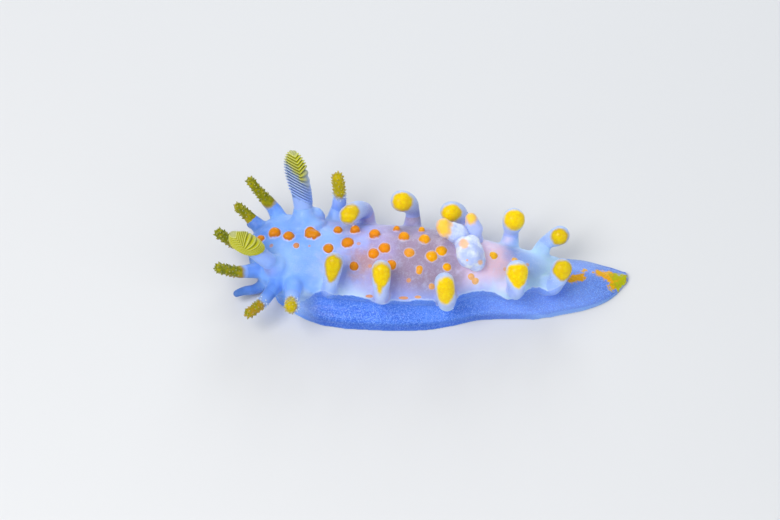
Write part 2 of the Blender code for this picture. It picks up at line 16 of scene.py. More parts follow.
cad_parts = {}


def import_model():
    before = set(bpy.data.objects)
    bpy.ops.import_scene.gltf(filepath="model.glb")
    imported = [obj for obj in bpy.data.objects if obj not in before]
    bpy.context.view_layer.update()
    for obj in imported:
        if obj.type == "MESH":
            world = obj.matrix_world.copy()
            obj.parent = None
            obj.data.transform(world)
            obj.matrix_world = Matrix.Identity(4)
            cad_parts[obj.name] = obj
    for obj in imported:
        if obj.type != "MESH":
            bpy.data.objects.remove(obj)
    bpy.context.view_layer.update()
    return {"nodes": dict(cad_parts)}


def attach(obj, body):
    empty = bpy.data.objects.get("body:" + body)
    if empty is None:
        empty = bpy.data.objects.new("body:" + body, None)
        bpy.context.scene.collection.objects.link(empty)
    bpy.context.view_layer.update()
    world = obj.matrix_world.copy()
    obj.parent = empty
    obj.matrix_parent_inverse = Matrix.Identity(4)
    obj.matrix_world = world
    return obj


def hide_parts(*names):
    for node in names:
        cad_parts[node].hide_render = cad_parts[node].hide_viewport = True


MM = 0.001
SEED = 23

# The photo's view: how steeply it looks down, the way towards it, and the way up in it.
TILT = math.radians(50)
TOWARD = np.array([0, -math.cos(TILT), math.sin(TILT)])
UP = np.array([0, math.sin(TILT), math.cos(TILT)])

# Edges and heights of the body as (x, value) pairs that a smooth curve runs through.
FOOT_NEAR = (
    (-6.9, -0.9), (-6.1, -1.6), (-4.6, -2.3), (-2.0, -2.6), (0.4, -2.58), (1.7, -2.32), (2.9, -2.05),
    (4.5, -2.0), (5.8, -2.02), (6.7, -1.77), (7.9, -1.49), (8.9, -1.05), (9.5, -0.55), (9.82, -0.1),
)
FOOT_FAR = (
    (-6.9, 2.4), (-6.1, 2.85), (-4.6, 3.1), (-2.0, 2.95), (0.4, 2.7), (2.0, 2.3), (3.6, 1.95),
    (5.3, 1.75), (6.7, 1.52), (8.0, 1.38), (9.1, 1.02), (9.5, 0.87), (9.82, 0.7),
)
RIM_NEAR = (
    (-6.0, -1.62), (-4.8, -1.66), (-3.5, -1.88), (-1.5, -2.1), (0.4, -2.2), (1.7, -1.92),
    (2.9, -1.58), (3.7, -1.56), (5.0, -1.3), (5.8, -1.24), (6.3, -1.08),
)
RIM_FAR = (
    (-6.0, 3.12), (-4.6, 2.9), (-3.3, 2.64), (-1.5, 2.46), (0.4, 2.3), (2.0, 1.95), (3.4, 1.5),
    (5.3, 1.06), (6.3, 0.86),
)
RIM_Z = ((-6.0, 1.5), (2.0, 1.45), (4.0, 1.35), (5.3, 1.2), (6.3, 1.08))
BACK_Z = ((-6.0, 2.62), (-4.0, 2.8), (-1.5, 2.95), (1.0, 2.88), (3.0, 2.6), (5.0, 2.05), (6.3, 1.55))
TAIL_Z = ((6.0, 0.72), (7.0, 0.74), (8.0, 0.7), (9.1, 0.5), (9.82, 0.3))
CUT_Z = ((-6.4, 0.66), (-5.2, 0.95), (-4.0, 1.0), (3.5, 0.97), (6.3, 0.88))

# Where the mantle ends on the near flank: x, and the height in the photo's view.
EDGE_LINE = (
    (-5.3, -0.48), (-4.73, -0.24), (-4.06, -0.43), (-3.24, -0.46), (-2.51, -0.61), (-2.08, -0.8),
    (-1.62, -0.84), (-1.4, -0.72), (-0.72, -0.72), (0, -0.68), (0.68, -0.75), (0.86, -1.12), (1.2, -1.34),
    (1.52, -1.18), (1.7, -0.62), (2.26, -0.32), (2.8, -0.24), (3.53, -0.29), (3.86, -0.48), (4.35, -0.68),
    (4.73, -0.57), (5.15, -0.16), (5.64, -0.08), (6.12, -0.23), (6.68, 0.0), (6.95, 0.2),
)

# Rounded ends: the last full section, the reach beyond it, the height they close at, the drift to the side.
HEAD_END = (-6.0, -2.3, 1.3, 0.3)
MANTLE_END = (6.3, 0.75, 0.98, 0.0)
FOOT_END = (-6.4, -0.9, 0.3, 0.2)
TAIL_END = (9.82, 0.24, 0.1, 0.1)
# Heights of the mantle's lip and the foot's edge, the least the edge keeps, and where the foot turns into
# the tail.
LIP = 0.12
EDGE = 0.16
LEAST_EDGE = 0.04
TAIL_FROM = (5.4, 6.4)

# Shares of the mantle's half width: where it is closed inside the foot, at the cut, on the flank, at the lip
# and over the back. Then how far it reaches down into the foot.
CLOSED_SHARE, NECK_SHARE, FLANK_SHARE, LIP_SHARE = 0.75, 0.93, 0.985, 0.965
BACK_SHARES = (0.87, 0.72, 0.52, 0.27, 0.0)
MANTLE_DEPTH = 0.3
# The foot's side from the top down: shift inwards and rise inside the mantle; shares of the way out and of
# the height, with an addition; and shifts inwards from the edge with heights. Then its middle's rise.
FOOT_INSIDE = (0.15, 0.35)
FOOT_SLOPE = ((0.3, 0.66, 0), (0.72, 0.4, 0.06))
FOOT_EDGE = ((0.05, EDGE + 0.1), (0, EDGE * 0.7), (0.12, 0))
FOOT_CROWN = 0.4
# The tail's side: shares of its half width, with shares of its height and then with heights.
TAIL_CROWN = ((0.3, 0.95), (0.58, 0.78), (0.82, 0.5))
TAIL_EDGE = ((0.97, EDGE + 0.04), (1, EDGE * 0.6), (0.95, 0))

# Steps of the meshes, the gap to an outgrowth that it bridges, and how far an outgrowth leaves straight.
STATION = 0.12
SECTION_POINTS = 160
END_RINGS = 24
VOXEL = 0.036
FINE_VOXEL = 0.028
SMOOTHING = 0.5
GAP = 0.3
ROOT_RISE = 0.35
STEPS = 40
SHARES = np.linspace(0, 1, STEPS + 1)

# Clubs of the rim: x and side of the root, points that draw the middle line, thickness of stalk and club.
CLUBS = {
    "left_2": ((-4.3, -1), ((-4.34, -2.15, 2.4), (-4.1, -1.46, 3.5)), 0.7, 0.9),
    "left_3": ((-1.85, -1), ((-1.86, -2.5, 2.35), (-1.86, -1.8, 3.32)), 0.72, 0.94),
    "left_4": ((1.26, -1), ((1.24, -2.82, 2.0), (1.13, -2.4, 3.1)), 0.84, 0.94),
    "left_5": ((4.45, -1), ((4.54, -1.95, 1.9), (4.6, -1.37, 2.68)), 0.84, 1.08),
    "left_6": ((6.1, -1), ((6.45, -1.4, 1.7), (6.76, -0.98, 2.42)), 0.76, 0.98),
    "right_2": ((-2.6, 1), ((-2.65, 2.85, 2.3), (-2.88, 2.44, 3.04), (-3.42, 1.58, 3.33)), 0.76, 0.96),
    "right_3": ((-0.36, 1), ((-0.34, 2.8, 2.2), (-0.4, 2.85, 2.85), (-0.9, 2.58, 3.22)), 0.7, 1.04),
    "right_4": ((2.0, 1), ((2.02, 2.42, 2.15), (1.86, 2.45, 2.75), (1.46, 2.08, 3.0)), 0.76, 1.0),
    "right_5": ((4.3, 1), ((4.38, 1.74, 2.12), (4.5, 1.6, 3.02)), 0.74, 1.08),
    "right_6": ((5.8, 1), ((6.2, 1.34, 1.68), (6.74, 1.3, 2.18)), 0.68, 0.92),
}
ROUGH_CLUBS = {
    "left_1": ((-6.05, -1), ((-6.1, -2.6, 1.65), (-6.1, -3.22, 2.28)), 0.7, 0.74),
    "right_1": ((-4.1, 1), ((-3.8, 3.2, 2.45), (-3.98, 3.68, 3.66)), 0.7, 0.64),
}
# Clubs of the veil: direction of the root round the head in degrees, then as above.
VEIL_CLUBS = {
    "veil_right_2": (68, ((-7.6, 3.72, 2.15), (-8.2, 4.14, 2.9)), 0.64, 0.52),
    "veil_right_1": (38, ((-8.3, 2.8, 1.9), (-8.78, 2.95, 2.36)), 0.6, 0.54),
    "veil_middle": (4, ((-9.0, 1.08, 1.8), (-9.65, 1.25, 2.38)), 0.62, 0.58),
    "veil_left_1": (-34, ((-8.8, -0.7, 1.75), (-9.6, -0.9, 2.35)), 0.62, 0.58),
    "veil_left_2": (-66, ((-7.55, -2.45, 1.42), (-8.15, -2.95, 1.5)), 0.62, 0.58),
}
# Yellow of each club: how olive it is, then ovals in the photo's view: x, height, half width, half height,
# lean to the right in degrees, and how pointed the lower end is.
YELLOW = {
    "left_2": (0.35, ((-4.17, 0.8, 0.37, 0.66, 8, 0.35),)),
    "left_3": (0.16, ((-1.86, 0.47, 0.42, 0.6, 2, 0.3), (-1.95, -0.12, 0.1, 0.26, 0, 0))),
    "left_4": (0.05, ((1.2, -0.24, 0.42, 0.64, 5, 0.15),)),
    "left_5": (0.0, ((4.65, 0.44, 0.5, 0.58, 0, 0.45),)),
    "left_6": (0.25, ((6.79, 0.72, 0.46, 0.49, 0, 0.1),)),
    "right_2": (0.22, ((-3.38, 3.42, 0.39, 0.5, 42, 0),)),
    "right_3": (0.1, ((-0.85, 4.0, 0.49, 0.45, 0, 0),)),
    "right_4": (0.06, ((1.51, 3.46, 0.47, 0.4, 0, 0),)),
    "right_5": (0.0, ((4.53, 3.12, 0.51, 0.48, 0, 0),)),
    "right_6": (0.22, ((6.7, 2.32, 0.41, 0.39, 0, 0),)),
    "left_1": (0.6, ((-6.16, -0.94, 0.3, 0.39, 0, 0),)),
    "right_1": (0.65, ((-3.93, 4.86, 0.38, 0.68, -8, 0),)),
    "veil_right_2": (0.95, ((-7.8, 4.6, 0.5, 1.05, -40, 0),)),
    "veil_right_1": (0.95, ((-8.4, 3.4, 0.5, 0.82, -41, 0),)),
    "veil_middle": (1.0, ((-9.55, 2.2, 0.5, 0.8, -40, 0),)),
    "veil_left_1": (1.0, ((-9.25, 0.7, 0.5, 0.84, -77, 0),)),
    "veil_left_2": (0.9, ((-8.05, -1.17, 0.5, 0.62, -118, 0),)),
}
# Soft swellings at the feet of near clubs: centre and radii.
BULGES = (
    ((4.2, -1.45, 1.42), (0.72, 0.48, 0.48)), ((-1.82, -2.2, 1.85), (0.44, 0.4, 0.42)),
    ((1.25, -2.45, 1.58), (0.43, 0.4, 0.42)), ((6.25, -1.05, 1.42), (0.55, 0.4, 0.36)),
)
ORAL_TENTACLES = {
    "oral_left": ((-7.35, -0.35, 0.95), ((-8.3, -0.85, 0.78), (-8.8, -1.08, 0.66)), 0.52),
    "oral_right": ((-7.1, 2.15, 0.95), ((-7.85, 2.9, 0.78), (-8.25, 3.3, 0.66)), 0.52),
}
TENTACLE_TAPER = (1.1, 0.7)
# Clubs thicken from this share on, and flare at the foot up to another. Then the root's place on the rim.
SWELL_FROM = 0.35
FLARE_TO = 0.25
FLARE = 0.18
RIM_ROOT = (0.97, 0.17)

# Rhinophores: root on the head, tip, thickness of stalk and club, share of the stalk, where the yellow begins
# and how much lower it does towards the rear, the outline of the leaves, and the sheath. The outline says how
# much the leaves swell in the middle, how much the top narrows and how late, up to where the smooth ridge
# runs, and how wide the core is. The sheath has a radius below, one above, and a height.
RHINOPHORES = {
    "left": (
        (-7.0, -0.5), (-8.84, -0.22, 4.04), 0.8, 1.16, 0.42,
        (-0.1, 0), (0.2, 0.6, 3.2, 0, 0.86), (0.6, 0.42, 0.5),
    ),
    "right": (
        (-5.55, 2.0), (-6.1, 4.22, 4.76), 0.9, 1.18, 0.2,
        (0.56, 0.3), (0.14, 0.56, 5.0, 0.7, 0.7), (1.05, 0.5, 0.75),
    ),
}
# The sheath's rings in shares of its height, how hollow its side is, and the soft lobes of the far one:
# centre and radius. Then how high up the sheath the stalk begins.
SHEATH_SIDES = 60
SHEATH_STEPS = (-0.6, 1, 14)
SHEATH_CURVE = 2.6
SHEATH_LOBES = (((-5.0, 2.3, 2.62), 0.32), ((-4.8, 2.25, 2.7), 0.17), ((-4.7, 2.2, 2.55), 0.15))
STALK_FROM = 0.54

# Gills: balls that blend into soft lobes, each with its x and height in the photo's view, how far it lies
# towards the view and its radius, then the ovals of their yellow and their palest colour. The left gill has
# orange spots in place of yellow.
GILLS = {
    "front": ((
        (1.09, 2.85, 2.35, 0.33), (1.16, 2.56, 2.3, 0.28), (1.55, 2.7, 2.2, 0.3), (1.88, 2.6, 2.1, 0.3),
        (1.6, 2.37, 2.15, 0.3), (1.98, 2.32, 2.05, 0.36), (1.98, 2.1, 1.75, 0.42),
    ), ((1.1, 2.8, 0.36, 0.46, 0, 0),), (0.72, 0.8, 1.0)),
    "right": ((
        (2.43, 3.2, 1.95, 0.26), (2.51, 2.95, 1.85, 0.3), (2.7, 2.7, 1.75, 0.28), (2.37, 2.66, 1.75, 0.3),
        (2.51, 2.42, 1.6, 0.38), (2.6, 2.2, 1.3, 0.4),
    ), ((2.42, 3.2, 0.25, 0.26, 0, 0),), (0.48, 0.56, 0.97)),
    "left": ((
        (2.32, 1.4, 2.85, 0.54), (2.03, 1.93, 2.5, 0.36), (2.46, 2.03, 2.4, 0.36), (2.66, 1.64, 2.5, 0.32),
        (2.66, 1.06, 2.55, 0.38), (2.86, 1.22, 2.45, 0.24), (2.16, 1.55, 2.8, 0.42), (2.6, 1.45, 2.1, 0.45),
    ), (), (0.8, 0.87, 1.0)),
}
# Orange spots of the gills in the photo's view: x, height and diameter.
GILL_SPOTS = ((2.07, 1.99, 0.48), (2.85, 1.09, 0.26), (2.22, 1.2, 0.12))

# Orange spots of head and back: x, y, diameter, and how faint they are.
SPOTS = (
    (-7.65, 1.01, 0.41, 0), (-6.98, 1.15, 0.6, 0), (-6.31, 0.87, 0.53, 0), (-5.25, 0.9, 0.56, 0),
    (-5.06, 0.86, 0.54, 0), (-5.94, 0.31, 0.29, 0.2), (-7.14, 0.46, 0.19, 0.6), (-3.95, 1.1, 0.43, 0),
    (-3.12, 1.07, 0.47, 0), (-3.47, 0.28, 0.58, 0), (-2.18, 0.71, 0.55, 0), (-1.13, 1.14, 0.34, 0),
    (-0.78, 0.54, 0.53, 0), (0.07, 1.18, 0.3, 0), (0.2, 0.39, 0.54, 0), (-4.39, 0.03, 0.5, 0),
    (-3.17, -0.9, 0.43, 0), (-2.24, -0.39, 0.51, 0), (-1.71, -0.11, 0.55, 0), (-0.52, -0.38, 0.48, 0.1),
    (0.53, -0.55, 0.54, 0), (1.02, -0.24, 0.51, 0), (-1.38, -0.93, 0.46, 0), (-2.4, -0.94, 0.19, 0.6),
    (-0.04, -1.12, 0.3, 0.1), (-0.06, -1.24, 0.28, 0.1), (-0.56, -1.56, 0.22, 0.5), (0.54, -1.78, 0.29, 0.4),
    (1.27, -0.99, 0.39, 0), (3.5, -0.21, 0.39, 0), (4.53, -0.28, 0.31, 0.3), (4.05, -0.78, 0.19, 0.7),
    (5.14, -0.37, 0.17, 0.6), (2.43, -1.22, 0.32, 0.4), (2.63, -1.34, 0.32, 0.4), (-5.31, 0.24, 0.12, 0.7),
    (-2.95, 0.19, 0.2, 0.7),
)
# Thin orange streaks just above the mantle's edge: x and length.
STREAKS = ((-2.43, 0.36), (-0.8, 0.44), (-0.12, 0.3))
# Yellow and orange marks of the tail: x, y and diameter.
TAIL_MARKS = (
    (7.3, -0.22, 0.42), (7.73, -0.08, 0.52), (7.92, 0.33, 0.24), (8.55, 0.27, 0.36), (8.85, 0.22, 0.5),
    (9.15, 0.22, 0.56), (9.45, 0.16, 0.6), (9.66, 0.06, 0.6), (9.52, -0.22, 0.6), (9.28, -0.38, 0.4),
    (9.86, 0.3, 0.34), (9.12, 0.04, 0.5), (9.34, -0.08, 0.56), (8.7, 0.32, 0.4), (7.5, -0.2, 0.5),
)


def along(points, x):
    """The value at x of a smooth curve through (x, value) points, level beyond its ends."""
    if x <= points[0][0]:
        return points[0][1]
    for i in range(len(points) - 1):
        (x0, v0), (x1, v1) = points[i], points[i + 1]
        if x <= x1:
            before = points[max(i - 1, 0)]
            after = points[min(i + 2, len(points) - 1)]
            m0 = (v1 - before[1]) / (x1 - before[0]) * (x1 - x0)
            m1 = (after[1] - v0) / (after[0] - x0) * (x1 - x0)
            t = (x - x0) / (x1 - x0)
            rise = (3 * t**2 - 2 * t**3) * (v1 - v0)
            return v0 + rise + (t**3 - 2 * t**2 + t) * m0 + (t**3 - t**2) * m1
    return points[-1][1]


def along_all(points, xs):
    """The same for many x at once."""
    table = np.linspace(-10.5, 10.5, 1200)
    return np.interp(xs, table, [along(points, x) for x in table])


def smoothstep(low, high, value):
    t = np.clip((value - low) / (high - low), 0, 1)
    return t * t * (3 - 2 * t)


def unit(vector):
    return vector / np.linalg.norm(vector)


def rim(x):
    """Middle and half width of the mantle rim."""
    near, far = along(RIM_NEAR, x), along(RIM_FAR, x)
    return (near + far) / 2, (far - near) / 2


def upper_section(x):
    """Points round head or mantle, closed well inside the foot."""
    middle, half = rim(x)
    edge, top, cut = along(RIM_Z, x), along(BACK_Z, x), along(CUT_Z, x)
    side = [(CLOSED_SHARE, cut - MANTLE_DEPTH), (NECK_SHARE, cut), (FLANK_SHARE, (cut + edge) / 2)]
    side += [(1.0, edge), (LIP_SHARE, edge + LIP * 1.5)]
    for q in BACK_SHARES:
        side.append((q, edge + LIP + (top - edge - LIP) * (1 - q * q)))
    near = [(middle - q * half, z) for q, z in side]
    far = [(middle + q * half, z) for q, z in reversed(side[:-1])]
    return near + far


def foot_section(x):
    """Points round the foot under the mantle, closed well inside the mantle."""
    middle, half = rim(x)
    ceiling = along(CUT_Z, x) - GAP / 2
    sides = []
    for sign, edge in ((-1, along(FOOT_NEAR, x)), (1, along(FOOT_FAR, x))):
        top = middle + sign * NECK_SHARE * half
        shift, rise = FOOT_INSIDE
        side = [(top - sign * shift, ceiling + rise), (top, ceiling)]
        side += [(top + out * (edge - top), share * ceiling + more) for out, share, more in FOOT_SLOPE]
        side += [(edge - sign * shift, z) for shift, z in FOOT_EDGE]
        sides.append(side)
    return [(middle, ceiling + FOOT_CROWN)] + sides[0] + list(reversed(sides[1]))


def tail_section(x):
    """Points round the tail, with a low crown."""
    near, far = along(FOOT_NEAR, x), along(FOOT_FAR, x)
    middle, half, top = (near + far) / 2, (far - near) / 2, along(TAIL_Z, x)
    side = [(q, top * share) for q, share in TAIL_CROWN] + list(TAIL_EDGE)
    left = [(middle - q * half, z) for q, z in side]
    right = [(middle + q * half, z) for q, z in reversed(side)]
    return [(middle, top)] + left + right


def closed_curve(points, count):
    """Evenly spaced points on a smooth closed curve through the points."""
    corners = np.array(points, float)
    before, after, last = (np.roll(corners, k, axis=0) for k in (1, -1, -2))
    t = np.linspace(0, 1, 16, endpoint=False)[None, :, None]
    a, b, c, d = (p[:, None, :] for p in (before, corners, after, last))
    bend = (2 * a - 5 * b + 4 * c - d) * t**2 + (3 * b - a - 3 * c + d) * t**3
    fine = (0.5 * (2 * b + (c - a) * t + bend)).reshape(-1, 2)
    loop = np.vstack([fine, fine[:1]])
    reach = np.concatenate([[0], np.cumsum(np.linalg.norm(np.diff(loop, axis=0), axis=1))])
    goals = np.linspace(0, reach[-1], count, endpoint=False)
    return np.stack([np.interp(goals, reach, loop[:, k]) for k in (0, 1)], axis=1)


def ring_at(x, outline):
    return np.column_stack([np.full(len(outline), x), outline[:, 0], np.maximum(outline[:, 1], 0)])


def stations(start, end):
    return np.linspace(start, end, max(2, round((end - start) / STATION)) + 1)


def rounded_end(ring, end, on_ground=False):
    """Rings that close a body's end like a dome."""
    _, reach, height, drift = end
    middle = ring.mean(axis=0)
    middle[2] = height
    rings = []
    for i in range(1, END_RINGS):
        turn = math.radians(90 * i / END_RINGS)
        shift = np.array([reach, drift, 0]) * math.sin(turn)
        shrunk = middle + shift + (ring - middle) * math.cos(turn)
        if on_ground:
            shrunk[:, 2] = np.where(ring[:, 2] < 1e-6, 0, np.maximum(shrunk[:, 2], LEAST_EDGE))
        rings.append(shrunk)
    return rings


def upper_rings():
    places = stations(HEAD_END[0], MANTLE_END[0])
    body = [ring_at(x, closed_curve(upper_section(x), SECTION_POINTS)) for x in places]
    front = rounded_end(body[0], HEAD_END)
    return front[::-1] + body + rounded_end(body[-1], MANTLE_END)


def lower_rings():
    body = []
    for x in stations(FOOT_END[0], TAIL_END[0]):
        share = float(smoothstep(*TAIL_FROM, x))
        foot = closed_curve(foot_section(min(x, TAIL_FROM[1])), SECTION_POINTS)
        tail = closed_curve(tail_section(x), SECTION_POINTS)
        body.append(ring_at(x, foot * (1 - share) + tail * share))
    front = rounded_end(body[0], FOOT_END, True)
    return front[::-1] + body + rounded_end(body[-1], TAIL_END, True)


def loft(rings):
    """Vertices and faces of a closed skin over rings of equal length."""
    rings = np.array(rings)
    rows, sides = rings.shape[:2]
    index = np.arange(rows * sides).reshape(rows, sides)
    turned = np.roll(index, -1, axis=1)
    quads = np.stack([index[:-1], turned[:-1], turned[1:], index[1:]], axis=-1).reshape(-1, 4).tolist()
    vertices = np.vstack([rings.reshape(-1, 3), rings[0].mean(axis=0), rings[-1].mean(axis=0)])
    first, last = rows * sides, rows * sides + 1
    caps = [(turned[0, k], index[0, k], first) for k in range(sides)]
    caps += [(index[-1, k], turned[-1, k], last) for k in range(sides)]
    return vertices, quads + [tuple(int(i) for i in face) for face in caps]


def joined(meshes):
    """Several (vertices, faces) as one."""
    vertices, faces, start = [], [], 0
    for points, own in meshes:
        vertices.append(points)
        faces += [[start + i for i in face] for face in own]
        start += len(points)
    return np.vstack(vertices), faces


def circle(side, up, count):
    """Points of a circle of radius 1 in the plane of two directions."""
    turns = np.linspace(0, 2 * math.pi, count, endpoint=False)
    return np.outer(np.cos(turns), side) + np.outer(np.sin(turns), up)


def ball(centre, radii, sides=28, rows=14):
    """A closed ball, or a longer one where the radii differ."""
    rings = []
    for k in range(1, rows):
        lift = math.pi * k / rows
        level = circle((1, 0, 0), (0, 1, 0), sides) * math.sin(lift)
        rings.append(np.array(centre) + (level - np.array([0, 0, math.cos(lift)])) * np.array(radii))
    return loft(rings)


def bezier(points, share):
    """The place at a share of the Bezier curve from the first point to the last, drawn by the others."""
    points = [np.array(p, float) for p in points]
    while len(points) > 1:
        points = [a + (b - a) * share for a, b in zip(points, points[1:])]
    return points[0]


def evenly(path, count):
    """The same line with a number of even steps."""
    reach = np.concatenate([[0], np.cumsum(np.linalg.norm(np.diff(path, axis=0), axis=1))])
    goals = np.linspace(0, reach[-1], count + 1)
    return np.stack([np.interp(goals, reach, path[:, k]) for k in range(3)], axis=1)


def smooth_path(points, count):
    """Places at even distances on the Bezier curve of the points."""
    return evenly(np.array([bezier(points, t) for t in np.linspace(0, 1, 97)]), count)


def cross_frames(path, side=None):
    """At each place, two directions square to the path and the path's own, without needless turning."""
    frames = []
    for i in range(len(path)):
        ahead = unit(path[min(i + 1, len(path) - 1)] - path[max(i - 1, 0)])
        if side is None:
            side = np.array(Vector(ahead).orthogonal())
        side = unit(side - ahead * side.dot(ahead))
        frames.append((side, np.cross(ahead, side), ahead))
    return frames


def tube_rings(path, radii, sides, tip_rings):
    """Rings round a path with a rounded tip."""
    frames = cross_frames(path)
    rings = []
    for point, (across, up, _), size in zip(path, frames, radii):
        rings.append(point + size * circle(across, up, sides))
    across, up, ahead = frames[-1]
    last = circle(across, up, sides)
    for k in range(1, tip_rings):
        turn = math.radians(90 * k / tip_rings)
        rings.append(path[-1] + radii[-1] * (math.cos(turn) * last + math.sin(turn) * ahead))
    return rings


def object_from(name, vertices, faces):
    """An object of a mesh given in millimetres."""
    mesh = bpy.data.meshes.new(name)
    mesh.from_pydata((np.asarray(vertices) * MM).tolist(), [], faces)
    mesh.validate()
    mesh.shade_smooth()
    obj = bpy.data.objects.new(name, mesh)
    bpy.context.scene.collection.objects.link(obj)
    return obj


def set_attributes(obj, **fields):
    """Named numbers at the vertices, which the materials read."""
    for name, values in fields.items():
        attribute = obj.data.attributes.new(name, "FLOAT", "POINT")
        attribute.data.foreach_set("value", np.asarray(values, np.float32))


def club_radius(share, stalk, club):
    swell = np.sin(np.maximum(0, share - SWELL_FROM) / (1 - SWELL_FROM) * math.pi / 2)
    flare = np.maximum(0, 1 - share / FLARE_TO)
    return (stalk + (club - stalk) * swell) / 2 * (1 + FLARE * flare * flare)


def rim_place(x, sign):
    middle, half = rim(x)
    return (x, middle + sign * RIM_ROOT[0] * half, along(RIM_Z, x) + RIM_ROOT[1])


def veil_place(angle):
    x_end, reach, _, drift = HEAD_END
    middle, half = rim(x_end)
    turn = math.radians(angle)
    x = x_end + reach * math.cos(turn)
    return (x, middle + drift * math.cos(turn) + half * math.sin(turn), along(RIM_Z, x_end))


# How far an outgrowth reaches down inside the body, and how much wider it is there. Then where along it the
# flesh under papillae gets slimmer, and the least that its way out counts as facing away from the body.
ROOT_DEPTHS = (0.9, 0.7, 0.5, 0.3, 0.15)
ROOT_WIDTHS = np.array([1.0, 1.05, 1.1, 1.08, 1.03])
SLIM_FROM = (0.3, 0.5)
LEAST_FACING = 0.6


class Outgrowth:
    """A club or tentacle: its middle line from inside the body to the tip, and its thickness."""

    def __init__(self, surface, root, points, radii):
        place, normal, _, _ = surface.find_nearest(Vector(root))
        place, normal = np.array(place), np.array(normal)
        towards = unit(np.array(points[0]) - place)
        if normal.dot(towards) < 0:
            normal = -normal
        self.outward = unit(normal + towards)
        start = place + self.outward * GAP / max(LEAST_FACING, normal.dot(self.outward))
        self.path = smooth_path([start, start + self.outward * ROOT_RISE, *points], STEPS)
        self.radii = radii
        self.length = np.linalg.norm(np.diff(self.path, axis=0), axis=1).sum()

    def flesh(self, slimmer=0.0):
        """The tube from inside the body to the tip, slimmer than the outline by the given depth."""
        inside = [self.path[0] - self.outward * depth for depth in ROOT_DEPTHS]
        path = np.vstack([inside, self.path])
        thinned = self.radii - slimmer * smoothstep(*SLIM_FROM, SHARES)
        return loft(tube_rings(path, np.concatenate([self.radii[0] * ROOT_WIDTHS, thinned]), 40, 10))


def voxel_union(meshes, voxel):
    """One closed mesh round all the given ones."""
    vertices, faces = joined(meshes)
    mesh = bpy.data.meshes.new("union")
    mesh.from_pydata(vertices.tolist(), [], faces)
    obj = bpy.data.objects.new("union", mesh)
    bpy.context.scene.collection.objects.link(obj)
    remesh = obj.modifiers.new("voxels", "REMESH")
    remesh.mode = "VOXEL"
    remesh.voxel_size = voxel
    graph = bpy.context.evaluated_depsgraph_get()
    result = bpy.data.meshes.new_from_object(obj.evaluated_get(graph))
    bpy.data.objects.remove(obj)
    points = np.empty(len(result.vertices) * 3)
    result.vertices.foreach_get("co", points)
    quads = [tuple(p.vertices) for p in result.polygons]
    edges = np.empty(len(result.edges) * 2, int)
    result.edges.foreach_get("vertices", edges)
    bpy.data.meshes.remove(result)
    return points.reshape(-1, 3), quads, edges.reshape(-1, 2)


def smoothed(points, edges, weights, rounds):
    """Points moved towards their neighbours' middle, each by its weight, in several rounds."""
    count = np.bincount(edges.ravel(), minlength=len(points))[:, None]
    weights = SMOOTHING * weights[:, None]
    for _ in range(rounds):
        total = np.zeros_like(points)
        for k in range(3):
            total[:, k] = np.bincount(edges[:, 0], points[edges[:, 1], k], len(points))
            total[:, k] += np.bincount(edges[:, 1], points[edges[:, 0], k], len(points))
        points = points + weights * (total / count - points)
    return points


def vertex_normals(points, quads):
    """Outward directions at the points of a mesh of quads."""
    quads = np.array(quads)
    corners = points[quads]
    normal = np.cross(corners[:, 2] - corners[:, 0], corners[:, 3] - corners[:, 1])
    total = np.zeros_like(points)
    for k in range(4):
        for axis in range(3):
            total[:, axis] += np.bincount(quads[:, k], normal[:, axis], len(points))
    return total / np.maximum(np.linalg.norm(total, axis=1, keepdims=True), 1e-9)


def nearest_on_path(points, path):
    """For each point, the nearest place of the path and how far it is."""
    away = np.linalg.norm(points[:, None, :] - path[None, :, :], axis=2)
    best = away.argmin(axis=1)
    return best, away[np.arange(len(points)), best]


def body_tree():
    vertices, faces = joined([loft(upper_rings()), loft(lower_rings())])
    return BVHTree.FromPolygons([Vector(v) for v in vertices], faces)


def on_back(surface, x, y):
    place, normal, _, _ = surface.ray_cast(Vector((x, y, 9)), Vector((0, 0, -1)))
    normal = np.array(normal if normal.z > 0 else -normal)
    return np.array(place), normal


def all_clubs(surface):
    """Every club's outgrowth, and whether it is rough."""
    clubs = {}
    for table, rough in ((CLUBS, False), (ROUGH_CLUBS, True), (VEIL_CLUBS, True)):
        for name, (place, points, stalk, club) in table.items():
            root = veil_place(place) if table is VEIL_CLUBS else rim_place(*place)
            clubs[name] = (Outgrowth(surface, root, points, club_radius(SHARES, stalk, club)), rough)
    return clubs


def all_tentacles(surface):
    first, last = TENTACLE_TAPER
    taper = first + (last - first) * SHARES
    rows = ORAL_TENTACLES.values()
    return [Outgrowth(surface, root, points, thick / 2 * taper) for root, points, thick in rows]


def rhinophore_axis(surface, foot, tip):
    place, normal = on_back(surface, *foot)
    return place, unit(normal + unit(np.array(tip) - place))


def sheath_mesh(surface, foot, tip, wide, narrow, height):
    """The soft cone that a rhinophore rises from."""
    place, axis = rhinophore_axis(surface, foot, tip)
    turns = np.linspace(0, 2 * math.pi, SHEATH_SIDES, endpoint=False)
    side = unit(np.cross(axis, (0.3, 1, 0)))
    up = np.cross(axis, side)
    rings = []
    for share in np.linspace(*SHEATH_STEPS):
        size = narrow + (wide - narrow) * (1 - max(share, 0)) ** SHEATH_CURVE
        wave = 1 + (0.03 * np.sin(3 * turns + 1) + 0.015 * np.sin(9 * turns)) * max(0, share)
        rings.append(place + axis * height * share + circle(side, up, SHEATH_SIDES) * (size * wave)[:, None])
    return loft(rings)


# The radius of a dome's ball, how deep its middle lies, how much less where the back turns away from the
# photo's view past the given share, and how much more where the spot is faint, in shares of the spot's width.
DOME = (0.52, 0.16, 0.9, 0.85, 0.35)
# Spots this faint, or fainter, are flat.
FLAT_FROM = 0.5
# How much slimmer the flesh under papillae is.
SLIM = 0.05


